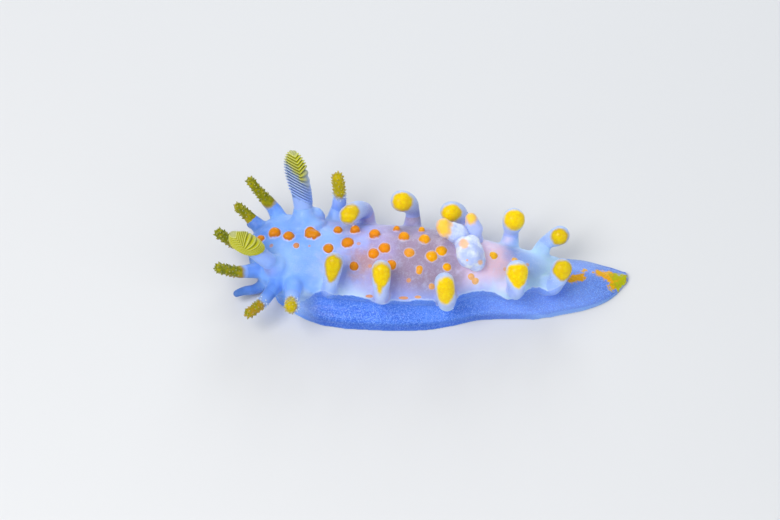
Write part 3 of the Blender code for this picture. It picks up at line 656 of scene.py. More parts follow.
def dome_meshes(surface):
    """Balls sunk into head and back so that domes show, lower where the spot is faint."""
    domes = []
    for x, y, across, faint in SPOTS:
        place, normal = on_back(surface, x, y)
        if faint < FLAT_FROM:
            size, deep, less, facing, more = DOME
            sink = deep - less * max(0, facing - normal.dot(TOWARD)) + more * faint
            domes.append(ball(place - normal * sink * across, (size * across,) * 3, 24, 12))
    return domes


# Where the skin is smoothed most: from and to how far off a rhinophore, an outgrowth and a swelling.
SHEATH_BLEND, ROOT_BLEND, BULGE_BLEND = (0.7, 1.15), (0.45, 0.95), (1.1, 1.5)
ROUNDS, ROOT_ROUNDS = 5, 40
# The raised line of the mantle's edge: width, height, and from where to where; and the low folds of the foot:
# waves along it, their lean, middle height, reach in height, and depth.
EDGE_WIDTH, EDGE_RISE, EDGE_FROM, EDGE_TO = 0.05, 0.03, -5.1, 6.8
FOLD_WAVES, FOLD_LEAN, FOLD_MIDDLE, FOLD_REACH, FOLD_DEPTH = 9.0, 2, 0.5, 0.35, 0.006


def root_weights(surface, points, growths):
    """1 where something grows from the body, falling to 0 further off."""
    places = [(on_back(surface, *row[0])[0], 1, SHEATH_BLEND) for row in RHINOPHORES.values()]
    places += [(growth.path[0] - growth.outward * 0.2, 1, ROOT_BLEND) for growth in growths]
    places += [(*bulge, BULGE_BLEND) for bulge in BULGES]
    weights = np.zeros(len(points))
    for place, radii, blend in places:
        away = np.linalg.norm((points - place) / radii, axis=1)
        weights = np.maximum(weights, 1 - smoothstep(*blend, away))
    return weights


def make_skin(surface, clubs, tentacles):
    meshes = [loft(upper_rings()), loft(lower_rings())]
    meshes += [club.flesh(SLIM if rough else 0) for club, rough in clubs.values()]
    meshes += [tentacle.flesh() for tentacle in tentacles]
    meshes += [sheath_mesh(surface, row[0], row[1], *row[-1]) for row in RHINOPHORES.values()]
    meshes += [ball(centre, (radius,) * 3, 16, 8) for centre, radius in SHEATH_LOBES]
    meshes += [ball(*bulge) for bulge in BULGES]
    meshes += dome_meshes(surface)
    points, quads, edges = voxel_union(meshes, VOXEL)
    roots = root_weights(surface, points, [club for club, _ in clubs.values()] + tentacles)
    points = smoothed(points, edges, np.ones(len(points)), ROUNDS)
    points = smoothed(points, edges, roots, ROOT_ROUNDS)
    yellow, olive = yellow_fields(points, clubs)
    flank = flank_field(points)
    x, _, z = points.T
    line = np.exp(-((flank - 0.02) / EDGE_WIDTH) ** 2) * (x > EDGE_FROM) * (x < EDGE_TO)
    folds = np.sin(x * FOLD_WAVES + FOLD_LEAN * z) * np.exp(-((z - FOLD_MIDDLE) / FOLD_REACH) ** 2)
    push = EDGE_RISE * line * (yellow < ON_CLUB) + FOLD_DEPTH * folds
    points = points + vertex_normals(points, quads) * push[:, None]
    points[:, 2] = np.maximum(points[:, 2], 0)
    skin = object_from("skin", points, quads)
    spot, tone = spot_fields(surface, points)
    set_attributes(skin, spot=spot, tone=tone, flank=flank, yellow=yellow, olive=olive)
    set_attributes(skin, mark=mark_field(points), margin=margin_field(points))
    return skin


# Far from any spot, and the streaks' height over the mantle's edge, half width and faintness.
FAR = 9.0
STREAK_RISE, STREAK_WIDTH, STREAK_FAINT = 0.12, 0.07, 0.4
# Values of the yellow's field: off the clubs, the least on them, and a bound between the two.
NO_CLUB, LEAST_DEPTH, ON_CLUB = -2.0, -1.0, -1.5


def spot_fields(surface, points):
    """Distance to the nearest spot as a share of its radius, and how faint it is."""
    share = np.full(len(points), FAR)
    tone = np.zeros(len(points))
    for x, y, across, faint in SPOTS:
        place, normal = on_back(surface, x, y)
        near = np.flatnonzero(np.linalg.norm(points - place, axis=1) < across)
        spoke = points[near] - place
        away = np.linalg.norm(spoke - np.outer(spoke @ normal, normal), axis=1) / (across / 2)
        nearer = away < share[near]
        share[near] = np.where(nearer, away, share[near])
        tone[near] = np.where(nearer, faint, tone[near])
    for x, length in STREAKS:
        rise = along(EDGE_LINE, x) + STREAK_RISE
        away = np.hypot((points[:, 0] - x) / (length / 2), (points @ UP - rise) / STREAK_WIDTH)
        nearer = (away < share) & (points[:, 1] < 0)
        share = np.where(nearer, away, share)
        tone = np.where(nearer, STREAK_FAINT, tone)
    return share, tone


def flank_field(points):
    """Distance below the mantle's edge, in mm, above 0 on the flanks, foot and tail."""
    x, y, z = points.T
    border = along_all(RIM_Z, x) - 0.2 + 0.05 * np.sin(x * 3.1 + 0.6) + 0.03 * np.sin(x * 7.3 + 2)
    far = border - z
    near = np.maximum(along_all(EDGE_LINE, x) - points @ UP, border - 0.4 - z)
    middle = (along_all(RIM_NEAR, x) + along_all(RIM_FAR, x)) / 2
    field = np.where(y < middle, near, far)
    behind = smoothstep(-5.75, -5.05, x)
    field = behind * field + (1 - behind) * np.minimum(field, 0.62 - z)
    return np.where(x > 6.7, np.maximum(field, (x - 6.98) * 0.5), field)


def mark_field(points):
    """Distance into the marks of the tail, in mm, above 0 inside them."""
    field = np.full(len(points), -1.0)
    for x, y, across in TAIL_MARKS:
        away = np.hypot(points[:, 0] - x, points[:, 1] - y)
        field = np.maximum(field, across / 2 - away)
    return np.minimum(field, np.minimum(points[:, 2] - 0.1, 1.0 - points[:, 2]))


def margin_field(points):
    """Distance in from the edge of the foot, in mm."""
    near = points[:, 1] - along_all(FOOT_NEAR, points[:, 0])
    far = along_all(FOOT_FAR, points[:, 0]) - points[:, 1]
    return np.minimum(near, far)


def oval_field(points, x, rise, wide, tall, lean, point):
    """Distance into an oval of the photo's view, in mm, above 0 inside it."""
    turn = math.radians(lean)
    u, t = points[:, 0] - x, points @ UP - rise
    across = u * math.cos(turn) - t * math.sin(turn)
    ahead = u * math.sin(turn) + t * math.cos(turn)
    across = across / np.clip(1 + point * ahead / tall, 0.35, 1.4)
    return (1 - np.hypot(across / wide, ahead / tall)) * min(wide, tall)


# Yellow behind a smooth club: half width, shift from the tip and half length in shares of its radius. On a
# rough one it begins at a share of the length. Then between which facings the front gives way to it.
BACK_OVAL = (0.85, 0.3, 1.1)
BACK_FROM = 0.55
TURN = (-0.1, -0.6)
# Clubs less olive than this are smooth.
SMOOTH_OLIVE = 0.5


def club_yellow(name, club, points, facing):
    """Distance into the yellow, as the photo shows it in front and alike behind, and how olive it is."""
    olive, ovals = YELLOW[name]
    front = np.max([oval_field(points, *oval) for oval in ovals], axis=0)
    end, size = club.path[-1], club.radii[-1]
    ahead = unit(end - club.path[-8])
    spoke = points - end
    past, across = spoke @ ahead, spoke @ unit(np.cross(ahead, TOWARD))
    if olive < SMOOTH_OLIVE:
        wide, shift, tall = (share * size for share in BACK_OVAL)
        back = (1 - np.hypot(across / wide, (past + shift) / tall)) * size
    else:
        back = past + BACK_FROM * club.length
    turned = smoothstep(*TURN, facing)
    return front * (1 - turned) + back * turned, olive


def yellow_fields(points, clubs):
    """Distance into the yellow of a club, in mm, above 0 inside it, and how olive it is."""
    field = np.full(len(points), NO_CLUB)
    tint = np.zeros(len(points))
    for name, (club, _) in clubs.items():
        near = np.flatnonzero(np.linalg.norm(points - club.path[len(club.path) // 2], axis=1) < club.length)
        best, away = nearest_on_path(points[near], club.path)
        kept = (away < club.radii[best] * 1.12 + 0.02) & (best > 5)
        near, best, away = near[kept], best[kept], away[kept]
        facing = (points[near] - club.path[best]) @ TOWARD / np.maximum(away, 1e-6)
        depth, olive = club_yellow(name, club, points[near], facing)
        field[near] = np.maximum(depth, LEAST_DEPTH)
        tint[near] = olive
    return field, tint


def scattered(places, spacing, rng):
    """Indices of random places at least a spacing apart."""
    order = list(range(len(places)))
    rng.shuffle(order)
    free = np.ones(len(places), bool)
    chosen = []
    for i in order:
        if free[i]:
            chosen.append(i)
            free &= np.linalg.norm(places - places[i], axis=1) > spacing
    return chosen


# Papillae of a rough and of a smooth club: height, width, spacing, lean towards the tip and how pale they end.
# Then how they narrow upwards, and how far those of a smooth club keep from the yellow's border.
ROUGH_PAPILLAE = (0.11, 0.1, 0.155, 0.55, 1)
SMOOTH_PAPILLAE = (0.03, 0.05, 0.12, 0.2, 0.3)
PAPILLA_PROFILE = ((-0.4, 1.1), (0.1, 1.0), (0.45, 0.66), (0.8, 0.3))
PAPILLA_SIDES = 7
PAPILLAE_FROM = 0.42
BORDER = 0.08
PAPILLA_HEIGHTS, PAPILLA_WIDTHS = (0.7, 1.25), (0.85, 1.15)
# Places where papillae may stand: steps along the club, round it and over its tip, and how deep they lie.
PAPILLA_GRID = (50, 60, 18)
PAPILLA_DEPTH = 0.01


def papilla(place, out, height, width):
    """A pointed papilla that stands with its root in the skin."""
    side = np.array(Vector(out).orthogonal().normalized())
    up = np.cross(out, side)
    ring = circle(side, up, PAPILLA_SIDES)
    return loft([place + out * height * lift + ring * width / 2 * size for lift, size in PAPILLA_PROFILE])


def make_papillae(clubs, rng):
    """The papillae of all clubs as one mesh, coloured like the club below and paler at their tips."""
    meshes, rise, yellow, olive = [], [], [], []
    for name, (club, rough) in clubs.items():
        height, width, spacing, lean, paleness = ROUGH_PAPILLAE if rough else SMOOTH_PAPILLAE
        start = round(len(club.path) * PAPILLAE_FROM)
        steps, sides, tip_rings = PAPILLA_GRID
        path = evenly(club.path[start:], steps)
        radii = np.interp(np.linspace(SHARES[start], 1, len(path)), SHARES, club.radii)
        rings = np.array(tube_rings(path, radii - (SLIM if rough else 0) - PAPILLA_DEPTH, sides, tip_rings))
        centres = np.vstack([path, np.repeat(path[-1:], len(rings) - len(path), axis=0)])
        out = (rings - centres[:, None, :]).reshape(-1, 3)
        places = rings.reshape(-1, 3)
        ahead = unit(path[-1] - path[-8]) * lean
        for i in scattered(places, spacing, rng):
            depth, tint = club_yellow(name, club, places[i][None, :], unit(out[i]) @ TOWARD)
            if not rough and abs(depth[0]) < BORDER:
                continue
            direction = unit(unit(out[i]) + ahead)
            tall = height * rng.uniform(*PAPILLA_HEIGHTS)
            vertices, faces = papilla(places[i], direction, tall, width * rng.uniform(*PAPILLA_WIDTHS))
            meshes.append((vertices, faces))
            rise.append(np.clip((vertices - places[i]) @ direction / tall, 0, 1) * paleness)
            yellow.append(np.full(len(vertices), depth[0]))
            olive.append(np.full(len(vertices), tint))
    obj = object_from("papillae", *joined(meshes))
    set_attributes(obj, rise=np.concatenate(rise), yellow=np.concatenate(yellow), olive=np.concatenate(olive))
    return obj


# Leaves of a rhinophore: number, rings in each, points of a ring, how steeply they fall to the sides and from
# where they rise again, and their fine notches. Then the rings of the root and of the rounded top.
LEAVES = 15
LEAF_STEPS = 12
LEAF_SIDES = 120
LEAF_SLANT = 0.8
LEAF_TURN = 0.32
NOTCH_DEPTH, NOTCHES, NOTCH_SHIFT = 0.018, 29, 1.7
ROOT_RINGS = 14
TOP_RINGS = 8
TOP_RISE = 0.14
# The smooth ridge: its reach in shares of the leaves', the half of it that is level, its width, and from
# where to where the leaves begin to rise at the back.
RIDGE_SHARE = 0.9
RIDGE_FLAT = 0.25
RIDGE_WIDTH = math.radians(60)
TURN_FROM = (0.4, 0.66)


def make_rhinophore(name, surface, foot, tip, stalk, club, stalk_share, outline):
    """A stalk that carries slanting leaves round a core, joined by a smooth ridge low down at the back."""
    belly, shrink, blunt, ridge_end, core = outline
    place, axis = rhinophore_axis(surface, foot, tip)
    root = place + axis * STALK_FROM
    tip = np.array(tip)
    count = LEAVES * LEAF_STEPS
    total = round(count / (1 - stalk_share))
    path = smooth_path([root, root + axis * ROOT_RISE, (root + tip) / 2, tip], total)
    inside = np.array([root - axis * depth for depth in np.linspace(0.8, 0.02, ROOT_RINGS)])
    path = np.vstack([inside, path])
    frames = cross_frames(path, np.array([1.0, 0, 0]))
    first = len(path) - count
    turns = np.linspace(0, 2 * math.pi, LEAF_SIDES, endpoint=False)
    from_ridge = np.minimum(turns, 2 * math.pi - turns) / RIDGE_WIDTH
    closed = 1 - np.clip(from_ridge - RIDGE_FLAT, 0, 1)
    level = np.cos(turns)
    turned = np.where(level < LEAF_TURN, level, 2 * LEAF_TURN - level)
    rings, fields = [], []
    for i, (point, (back, side, ahead)) in enumerate(zip(path, frames)):
        share = max(0.0, (i - first) / count)
        slant = LEAF_SLANT * min(1.0, max(0.0, (i - ROOT_RINGS) / (first - ROOT_RINGS)))
        swell = 1 - belly * (1 - math.sin(math.pi * share))
        plate = club / 2 * swell * (1 - shrink * share**blunt)
        phase = (i - first) % LEAF_STEPS / LEAF_STEPS
        leaf = math.sin(math.pi * phase) ** 0.9 if i >= first else 0.0
        notched = 1 + NOTCH_DEPTH * np.sin(turns * NOTCHES + NOTCH_SHIFT * (i // LEAF_STEPS)) * leaf
        size = plate * (core + (1 - core) * leaf) * notched
        begin = float(smoothstep(0, 0.08, share))
        size = stalk / 2 * (1 - begin) + size * begin
        ridge = stalk / 2 * (1 - begin) + plate * (RIDGE_SHARE + 0.03 * leaf) * begin
        smooth = closed * float(smoothstep(ridge_end, ridge_end - 0.25, share)) if ridge_end else closed * 0
        fall = level + (turned - level) * float(smoothstep(*TURN_FROM, share))
        out = size * (1 - smooth) + ridge * smooth
        spoke = circle(back, side, LEAF_SIDES)
        rings.append(point + spoke * out[:, None] - np.outer(slant * out * fall, ahead))
        height = share if i >= first else -0.3 * (first - i) / first
        fields.append((leaf * (1 - smooth), np.full(LEAF_SIDES, height), smooth))
    middle, last = rings[-1].mean(axis=0), rings[-1]
    for k in range(1, TOP_RINGS):
        turn = math.radians(90 * k / TOP_RINGS)
        rings.append(middle + (last - middle) * math.cos(turn) + frames[-1][2] * TOP_RISE * math.sin(turn))
        fields.append((fields[-1][0] * math.cos(turn), np.ones(LEAF_SIDES), np.zeros(LEAF_SIDES)))
    obj = object_from(name, *loft(rings))
    edge, share, ridge = (np.ravel(rows) for rows in zip(*fields))
    set_attributes(obj, edge=np.append(edge, [0, 0]), share=np.append(share, [-0.3, 1]))
    set_attributes(obj, ridge=np.append(ridge, [1, 0]))
    return obj


# Rounds of smoothing, what they took off and is put back, and the depth of the small folds.
GILL_ROUNDS = 150
GILL_OUTWARD = 0.085
GILL_FOLDS = 0.006


def make_gill(name, balls, yellow):
    """Soft lobes that blend into each other, with small folds."""
    meshes = []
    for x, rise, near, size in balls:
        meshes.append(ball(np.array([x, 0, 0]) + UP * rise + TOWARD * near, (size,) * 3, 24, 12))
    points, quads, edges = voxel_union(meshes, FINE_VOXEL)
    points = smoothed(points, edges, np.ones(len(points)), GILL_ROUNDS)
    x, y, z = points.T
    folds = np.sin(x * 17 + 2 * np.sin(z * 9)) * np.sin(z * 15 + 2 * np.sin(y * 8))
    points = points + vertex_normals(points, quads) * (GILL_OUTWARD + GILL_FOLDS * folds)[:, None]
    gill = object_from(name, points, quads)
    if yellow:
        set_attributes(gill, yellow=np.max([oval_field(points, *oval) for oval in yellow], axis=0))
        return gill
    x, rise = points[:, 0], points @ UP
    spots = [np.hypot(x - at, rise - up) / (size / 2) for at, up, size in GILL_SPOTS]
    set_attributes(gill, spot=np.min(spots, axis=0))
    return gill


class Nodes:
    """Short ways to add and join a material's nodes, which see places in millimetres."""

    def __init__(self, name):
        self.material = bpy.data.materials.new(name)
        self.material.use_nodes = True
        self.tree = self.material.node_tree
        self.shader = self.tree.nodes["Principled BSDF"]
        coords = self.add("ShaderNodeTexCoord").outputs["Object"]
        self.place = self.add("ShaderNodeMapping", {"Vector": coords, "Scale": (1 / MM,) * 3}).outputs["Vector"]

    def add(self, kind, inputs=None, **settings):
        node = self.tree.nodes.new(kind)
        for key, value in settings.items():
            setattr(node, key, value)
        for key, value in (inputs or {}).items():
            self.put(node.inputs[key], value)
        return node

    def put(self, socket, value):
        if isinstance(value, bpy.types.NodeSocket):
            self.tree.links.new(value, socket)
        else:
            socket.default_value = value

    def attribute(self, name):
        return self.add("ShaderNodeAttribute", attribute_name=name).outputs["Fac"]

    def noise(self, scale, detail=2.0, roughness=0.5):
        inputs = {"Vector": self.place, "Scale": scale, "Detail": detail, "Roughness": roughness}
        return self.add("ShaderNodeTexNoise", inputs).outputs["Fac"]

    def sway(self, scale, detail, reach):
        """Noise from minus the reach to the reach."""
        return self.ramp(self.noise(scale, detail), 0.3, 0.7, -reach, reach)

    def from_point(self, point):
        inputs = {0: self.place, 1: point}
        return self.add("ShaderNodeVectorMath", inputs, operation="DISTANCE").outputs["Value"]

    def math(self, operation, a, b=0.0):
        return self.add("ShaderNodeMath", {0: a, 1: b}, operation=operation).outputs["Value"]

    def plus(self, a, b):
        return self.math("ADD", a, b)

    def times(self, a, b):
        return self.math("MULTIPLY", a, b)

    def axis(self, name):
        return self.add("ShaderNodeSeparateXYZ", {"Vector": self.place}).outputs[name]

    def ramp(self, value, low, high, to_low=0.0, to_high=1.0):
        """A smooth step of the value from one bound to the other."""
        inputs = {"Value": value, "From Min": low, "From Max": high, "To Min": to_low, "To Max": to_high}
        return self.add("ShaderNodeMapRange", inputs, interpolation_type="SMOOTHSTEP").outputs["Result"]

    def linear(self, value, low, high):
        inputs = {"Value": value, "From Min": low, "From Max": high}
        return self.add("ShaderNodeMapRange", inputs).outputs["Result"]

    def mix(self, share, a, b):
        node = self.add("ShaderNodeMix", data_type="RGBA")
        for socket, value in ((node.inputs[0], share), (node.inputs[6], a), (node.inputs[7], b)):
            self.put(socket, value if isinstance(value, (bpy.types.NodeSocket, float)) else (*value, 1))
        return node.outputs[2]

    def over(self, color, tint, value, low, high, to_low=0.0, to_high=1.0):
        """The colour with a tint laid over it, as strongly as the smooth step of the value says."""
        return self.mix(self.ramp(value, low, high, to_low, to_high), color, tint)

    def patch(self, color, centre, near, far, strength, tint, *sway):
        """The colour with a round patch of a tint that fades from near to far of its centre."""
        away = self.from_point(centre)
        if sway:
            away = self.plus(away, self.sway(*sway))
        return self.over(color, tint, away, near, far, strength, 0.0)

    def color_ramp(self, share, stops):
        """Colours from front to rear, each at its x."""
        node = self.add("ShaderNodeValToRGB", {"Fac": share})
        ramp = node.color_ramp
        ramp.interpolation = "EASE"
        while len(ramp.elements) < len(stops):
            ramp.elements.new(0.5)
        for element, (x, color) in zip(ramp.elements, stops):
            element.position = share_of(x)
            element.color = (*color, 1)
        return node.outputs["Color"]

    def bump(self, height, distance):
        inputs = {"Height": height, "Distance": distance * MM, "Strength": 1.0}
        return self.add("ShaderNodeBump", inputs).outputs["Normal"]

    def finish(self, **inputs):
        for key, value in inputs.items():
            self.put(self.shader.inputs[key.replace("_", " ")], value)
        return self.material


# Wet gloss over soft, milky flesh.
FLESH = {
    "Roughness": 0.4, "Specular_IOR_Level": 0.2, "Coat_Weight": 0.16, "Coat_Roughness": 0.09, "IOR": 1.33,
    "Sheen_Weight": 0.25, "Sheen_Roughness": 0.4, "Sheen_Tint": (0.75, 0.87, 1, 1),
    "Subsurface_Weight": 0.4, "Subsurface_Radius": (0.5, 0.45, 0.7), "Subsurface_Scale": 0.22 * MM,
}
# The ends of the colour scales along the body, and their colours by x.
FRONT, REAR = -9.0, 8.0
BACK_COLORS = (
    (FRONT, (0.06, 0.15, 0.48)), (-8.0, (0.1, 0.24, 0.74)), (-6.8, (0.2, 0.41, 0.98)),
    (-5.0, (0.27, 0.47, 0.98)), (-3.4, (0.4, 0.46, 0.92)), (-2.0, (0.44, 0.37, 0.68)),
    (0.6, (0.34, 0.28, 0.43)), (3.0, (0.8, 0.62, 0.8)), (5.0, (0.24, 0.36, 0.8)), (REAR, (0.3, 0.52, 1.0)),
)
ORANGES = (
    (-7.5, (0.74, 0.25, 0.0)), (-5.0, (0.7, 0.25, 0.0)), (-2.0, (0.88, 0.3, 0.0)),
    (1.0, (0.96, 0.46, 0.0)), (4.0, (1.0, 0.53, 0.01)),
)
# Round patches: centre, where the fade begins and ends, strength, colour, then scale, detail and reach of
# the noise that makes some ragged.
BACK_PATCHES = (
    ((-2.6, -0.75, 2.6), 0.25, 1.1, 0.7, (0.52, 0.27, 0.24), 1.6, 4.0, 0.35),
    ((-0.3, -0.5, 2.8), 0.5, 1.9, 0.45, (0.36, 0.24, 0.3), 1.3, 4.0, 0.5),
    ((3.8, -0.6, 2.2), 0.3, 1.25, 0.4, (0.82, 0.5, 0.56)),
    ((-6.6, -0.2, 2.4), 0.2, 1.3, 0.6, (0.36, 0.58, 1.0)),
    ((-7.25, -0.75, 2.1), 0.1, 0.7, 0.45, (0.42, 0.38, 0.78)),
    ((-7.1, -1.6, 1.4), 0.3, 1.2, 0.7, (0.08, 0.23, 0.82)),
)
LOW_PATCHES = (
    ((1.25, -2.6, 1.5), 0.3, 0.8, 0.8, (0.5, 0.76, 1.0)),
    ((4.45, -1.9, 1.45), 0.3, 0.9, 0.8, (0.62, 0.86, 1.0)),
)
# Pale mottling of the back: scale, detail and roughness of the noise, its bounds, strength and colour.
BACK_GRAINS = (
    (2.8, 5.0, 0.62, 0.47, 0.75, 0.36, (0.66, 0.7, 0.98)),
    (13.0, 2.0, 0.5, 0.5, 0.68, 0.14, (0.72, 0.76, 1.0)),
)
# Colours low on the mantle's sides from front to rear: the first, then from which x to which each takes over.
LOW_FIRST = (0.08, 0.19, 0.52)
# The pale second colour, from x -6.2 on, is partly the flesh's own pale tone and partly painted light that
# lifts a steep side turned from the lamps.
LOW_COLORS_AND_PAINTED_LIGHT = (
    (-8.4, -6.8, (0.2, 0.42, 0.96)), (-6.2, -4.4, (0.58, 0.76, 1.0)), (-3.0, -1.2, (0.34, 0.46, 0.96)),
)
LOW_LAST = (2.0, 4.0, (0.5, 0.74, 1.0))


def share_of(x):
    """Where an x lies on the colour scales."""
    return (x - FRONT) / (REAR - FRONT)


def skin_material():
    """Bluish head, lavender back, white rear and blue foot, with orange spots and yellow clubs."""
    n = Nodes("skin")
    x, height = n.axis("X"), n.axis("Z")
    share = n.linear(x, FRONT, REAR)
    drifted = n.linear(n.plus(x, n.sway(0.7, 3.0, 0.7)), FRONT, REAR)
    flank = n.plus(n.attribute("flank"), n.sway(3.0, 2.0, 0.03))
    below = n.times(n.ramp(flank, -0.02, 0.05), n.ramp(x, -5.9, -4.7, 0.35, 1.0))
    color = n.mix(below, back_color(n, drifted, height), foot_color(n, x, height))
    line = n.times(n.ramp(n.math("ABSOLUTE", flank), 0.0, 0.06, 0.55, 0.0), n.ramp(x, -5.3, -4.6))
    color = n.mix(line, color, (0.62, 0.76, 1.0))
    color = add_spots(n, share, color)
    color = add_marks(n, x, color)
    color = add_yellow(n, color)
    n.put(n.shader.inputs["Normal"], n.bump(n.noise(15.0, 3.0, 0.6), 0.012))
    return n.finish(Base_Color=color, **FLESH)


def back_color(n, share, height):
    """Luminous blue in front, lavender with a reddish brown glow in the middle, pale cyan to the rear."""
    back = n.color_ramp(share, BACK_COLORS)
    for patch in BACK_PATCHES:
        back = n.patch(back, *patch)
    rearward = n.ramp(share, share_of(-6), share_of(-2), 0.3, 1.0)
    for scale, detail, roughness, low, high, strength, tint in BACK_GRAINS:
        grain = n.ramp(n.noise(scale, detail, roughness), low, high, 0.0, strength)
        back = n.mix(n.times(grain, rearward), back, tint)
    lower = LOW_FIRST
    # One of these low colours is partly painted light: a paler tone on a side turned from the lamps.
    for begin, end, tint in LOW_COLORS_AND_PAINTED_LIGHT:
        lower = n.over(lower, tint, share, share_of(begin), share_of(end))
    for patch in LOW_PATCHES:
        lower = n.patch(lower, *patch)
    begin, end, tint = LOW_LAST
    lower = n.over(lower, tint, share, share_of(begin), share_of(end))
    return n.over(back, lower, height, 1.35, 2.3, 0.9, 0.0)


def foot_color(n, x, height):
    """Deep blue flesh with fine pale grains and a light lower edge."""
    deep = n.over((0.045, 0.15, 0.66), (0.075, 0.21, 0.8), height, 0.1, 0.9)
    deep = n.over(deep, (0.13, 0.31, 0.93), n.noise(1.1, 3.0), 0.4, 0.7, 0.0, 0.4)
    deep = n.over(deep, (0.25, 0.37, 0.84), x, 1.5, 4.5, 0.0, 0.6)
    deep = n.over(deep, (0.07, 0.16, 0.58), x, 7.2, 9.8, 0.0, 0.7)
    deep = n.over(deep, (0.18, 0.38, 0.96), n.noise(13.0, 1.0), 0.42, 0.62, 0.0, 0.5)
    deep = n.over(deep, (0.42, 0.62, 1.0), n.noise(19.0, 1.0), 0.54, 0.68, 0.0, 0.45)
    deep = n.over(deep, (0.05, 0.11, 0.42), height, 0.08, 0.3, 0.5, 0.0)
    margin = n.times(n.ramp(n.attribute("margin"), -0.02, 0.04, 0.35, 0.0), n.ramp(x, 4.5, 6.0))
    low = n.ramp(height, 0.02, 0.06, 0.25, 0.0)
    return n.mix(n.math("MAXIMUM", margin, low), deep, (0.36, 0.6, 1.0))


def add_spots(n, share, color):
    """Orange spots with a thin pale ring, browner on the head and yellower to the rear."""
    away = n.plus(n.attribute("spot"), n.sway(4.0, 2.0, 0.07))
    faint = n.attribute("tone")
    orange = n.color_ramp(share, ORANGES)
    edge = n.times(n.ramp(away, 0.7, 0.98, 0.0, 0.55), n.ramp(share, share_of(-2.5), share_of(0.5), 1.0, 0.15))
    orange = n.mix(edge, orange, (0.5, 0.13, 0.01))
    orange = n.over(orange, (0.6, 0.2, 0.01), n.noise(12.0, 3.0), 0.4, 0.7, 0.0, 0.3)
    orange = n.over(orange, (0.66, 0.33, 0.2), faint, 0.3, 0.7, 0.0, 0.7)
    halo = n.times(n.ramp(away, 1.1, 1.34, 0.4, 0.0), n.math("SUBTRACT", 1.0, faint))
    color = n.mix(halo, color, (0.8, 0.72, 0.86))
    strength = n.math("SUBTRACT", 1.0, n.times(faint, 0.5))
    return n.mix(n.times(n.ramp(away, 0.97, 1.1, 1.0, 0.0), strength), color, orange)


def add_marks(n, x, color):
    """Mottled orange and yellow-green marks on the tail."""
    depth = n.plus(n.attribute("mark"), n.ramp(n.noise(6.0, 2.0), 0.3, 0.7, -0.1, 0.07))
    green = n.plus(n.ramp(x, 8.9, 9.7), n.ramp(n.noise(4.0, 3.0), 0.35, 0.65, -0.35, 0.35))
    tone = n.over((0.84, 0.42, 0.0), (0.46, 0.5, 0.0), green, 0.25, 0.8)
    tone = n.over(tone, (0.55, 0.28, 0.01), n.noise(10.0, 2.0), 0.45, 0.65, 0.0, 0.5)
    return n.over(color, tone, depth, -0.08, 0.06)


def add_yellow(n, color):
    """The clubs' yellow with pale clear flesh round it, clearer blue on the stalks, and painted shade on the
    rough clubs' stalks.
    """
    depth, olive = n.attribute("yellow"), n.attribute("olive")
    # The rough, olive clubs get a darker stalk: painted shade, the dark behind seen through their clear flesh.
    stalk = n.over((0.3, 0.44, 0.93), (0.12, 0.27, 0.78), olive, 0.5, 0.65)
    color = n.mix(n.times(n.ramp(depth, -1.1, -0.9), n.ramp(olive, 0.5, 0.65, 0.6, 0.65)), color, stalk)
    clear = n.times(n.ramp(depth, -0.45, -0.02, 0.0, 0.6), n.ramp(olive, 0.0, 0.4, 1.0, 0.5))
    color = n.mix(clear, color, (0.6, 0.76, 1.0))
    depth = n.plus(depth, n.sway(4.0, 2.0, 0.025))
    border = n.times(n.ramp(depth, 0.12, 0.0), n.ramp(olive, 0.0, 0.3, 0.0, 0.6))
    yellow = n.mix(border, club_color(n), (0.42, 0.25, 0.01))
    return n.over(color, yellow, depth, -0.09, 0.06)


def club_color(n):
    """Bright yellow, olive towards the front, with brownish flecks on the lowest clubs."""
    bright = n.over((0.93, 0.6, 0.0), (1.0, 0.74, 0.0), n.noise(6.0, 4.0), 0.35, 0.7)
    olive = n.over((0.19, 0.21, 0.002), (0.38, 0.35, 0.0), n.noise(5.0, 4.0), 0.4, 0.7)
    low = n.times(n.ramp(n.axis("Z"), 2.3, 1.5), n.ramp(n.noise(4.0, 3.0), 0.42, 0.6))
    return n.mix(n.attribute("olive"), bright, n.mix(low, olive, (0.38, 0.23, 0.01)))


def papilla_material():
    """The club's own colour below, pale and clear above."""
    n = Nodes("papilla")
    base = n.over((0.5, 0.64, 0.96), club_color(n), n.attribute("yellow"), -0.07, 0.08)
    color = n.over(base, (0.6, 0.65, 0.45), n.attribute("rise"), 0.3, 1.0, 0.0, 0.35)
    return n.finish(Base_Color=color, **FLESH)


def rhinophore_material(start, lean, middle):
    """Bluish white leaves with painted shade in the grooves between them, yellow above, with pale edges."""
    n = Nodes("rhinophore")
    whole, edge = n.attribute("share"), n.attribute("edge")
    share = n.plus(whole, n.sway(2.5, 3.0, 0.05))
    rearward = n.times(n.math("SUBTRACT", n.axis("X"), middle), lean)
    yellow = n.ramp(n.plus(share, rearward), start - 0.06, start + 0.12)
    stalk = n.over((0.3, 0.48, 1.0), (0.3, 0.44, 0.85), share, -0.3, 0.0)
    stalk = n.over(stalk, (0.3, 0.4, 0.62), share, 0.0, 0.5)
    top = n.mix(yellow, stalk, (0.5, 0.49, 0.01))
    # Painted shade in the grooves between the leaves: dark blue, and dark olive where the leaves are yellow.
    groove_shade = n.mix(yellow, (0.09, 0.16, 0.4), (0.24, 0.24, 0.0))
    color = n.over(groove_shade, top, edge, 0.05, 0.75)
    ridge = n.over((0.26, 0.42, 0.92), (0.4, 0.5, 0.75), share, 0.1, 0.6)
    color = n.mix(n.attribute("ridge"), color, ridge)
    pale = n.times(n.ramp(edge, 0.85, 1.0, 0.0, 0.65), n.ramp(share, 0.0, 0.3))
    color = n.mix(pale, color, n.mix(yellow, (0.55, 0.66, 0.88), (0.62, 0.66, 0.22)))
    color = n.over(color, (0.66, 0.7, 0.4), whole, 0.95, 1.0, 0.0, 0.45)
    color = n.over(color, stalk, share, -0.02, 0.05, 1.0, 0.0)
    return n.finish(Base_Color=color, **FLESH)


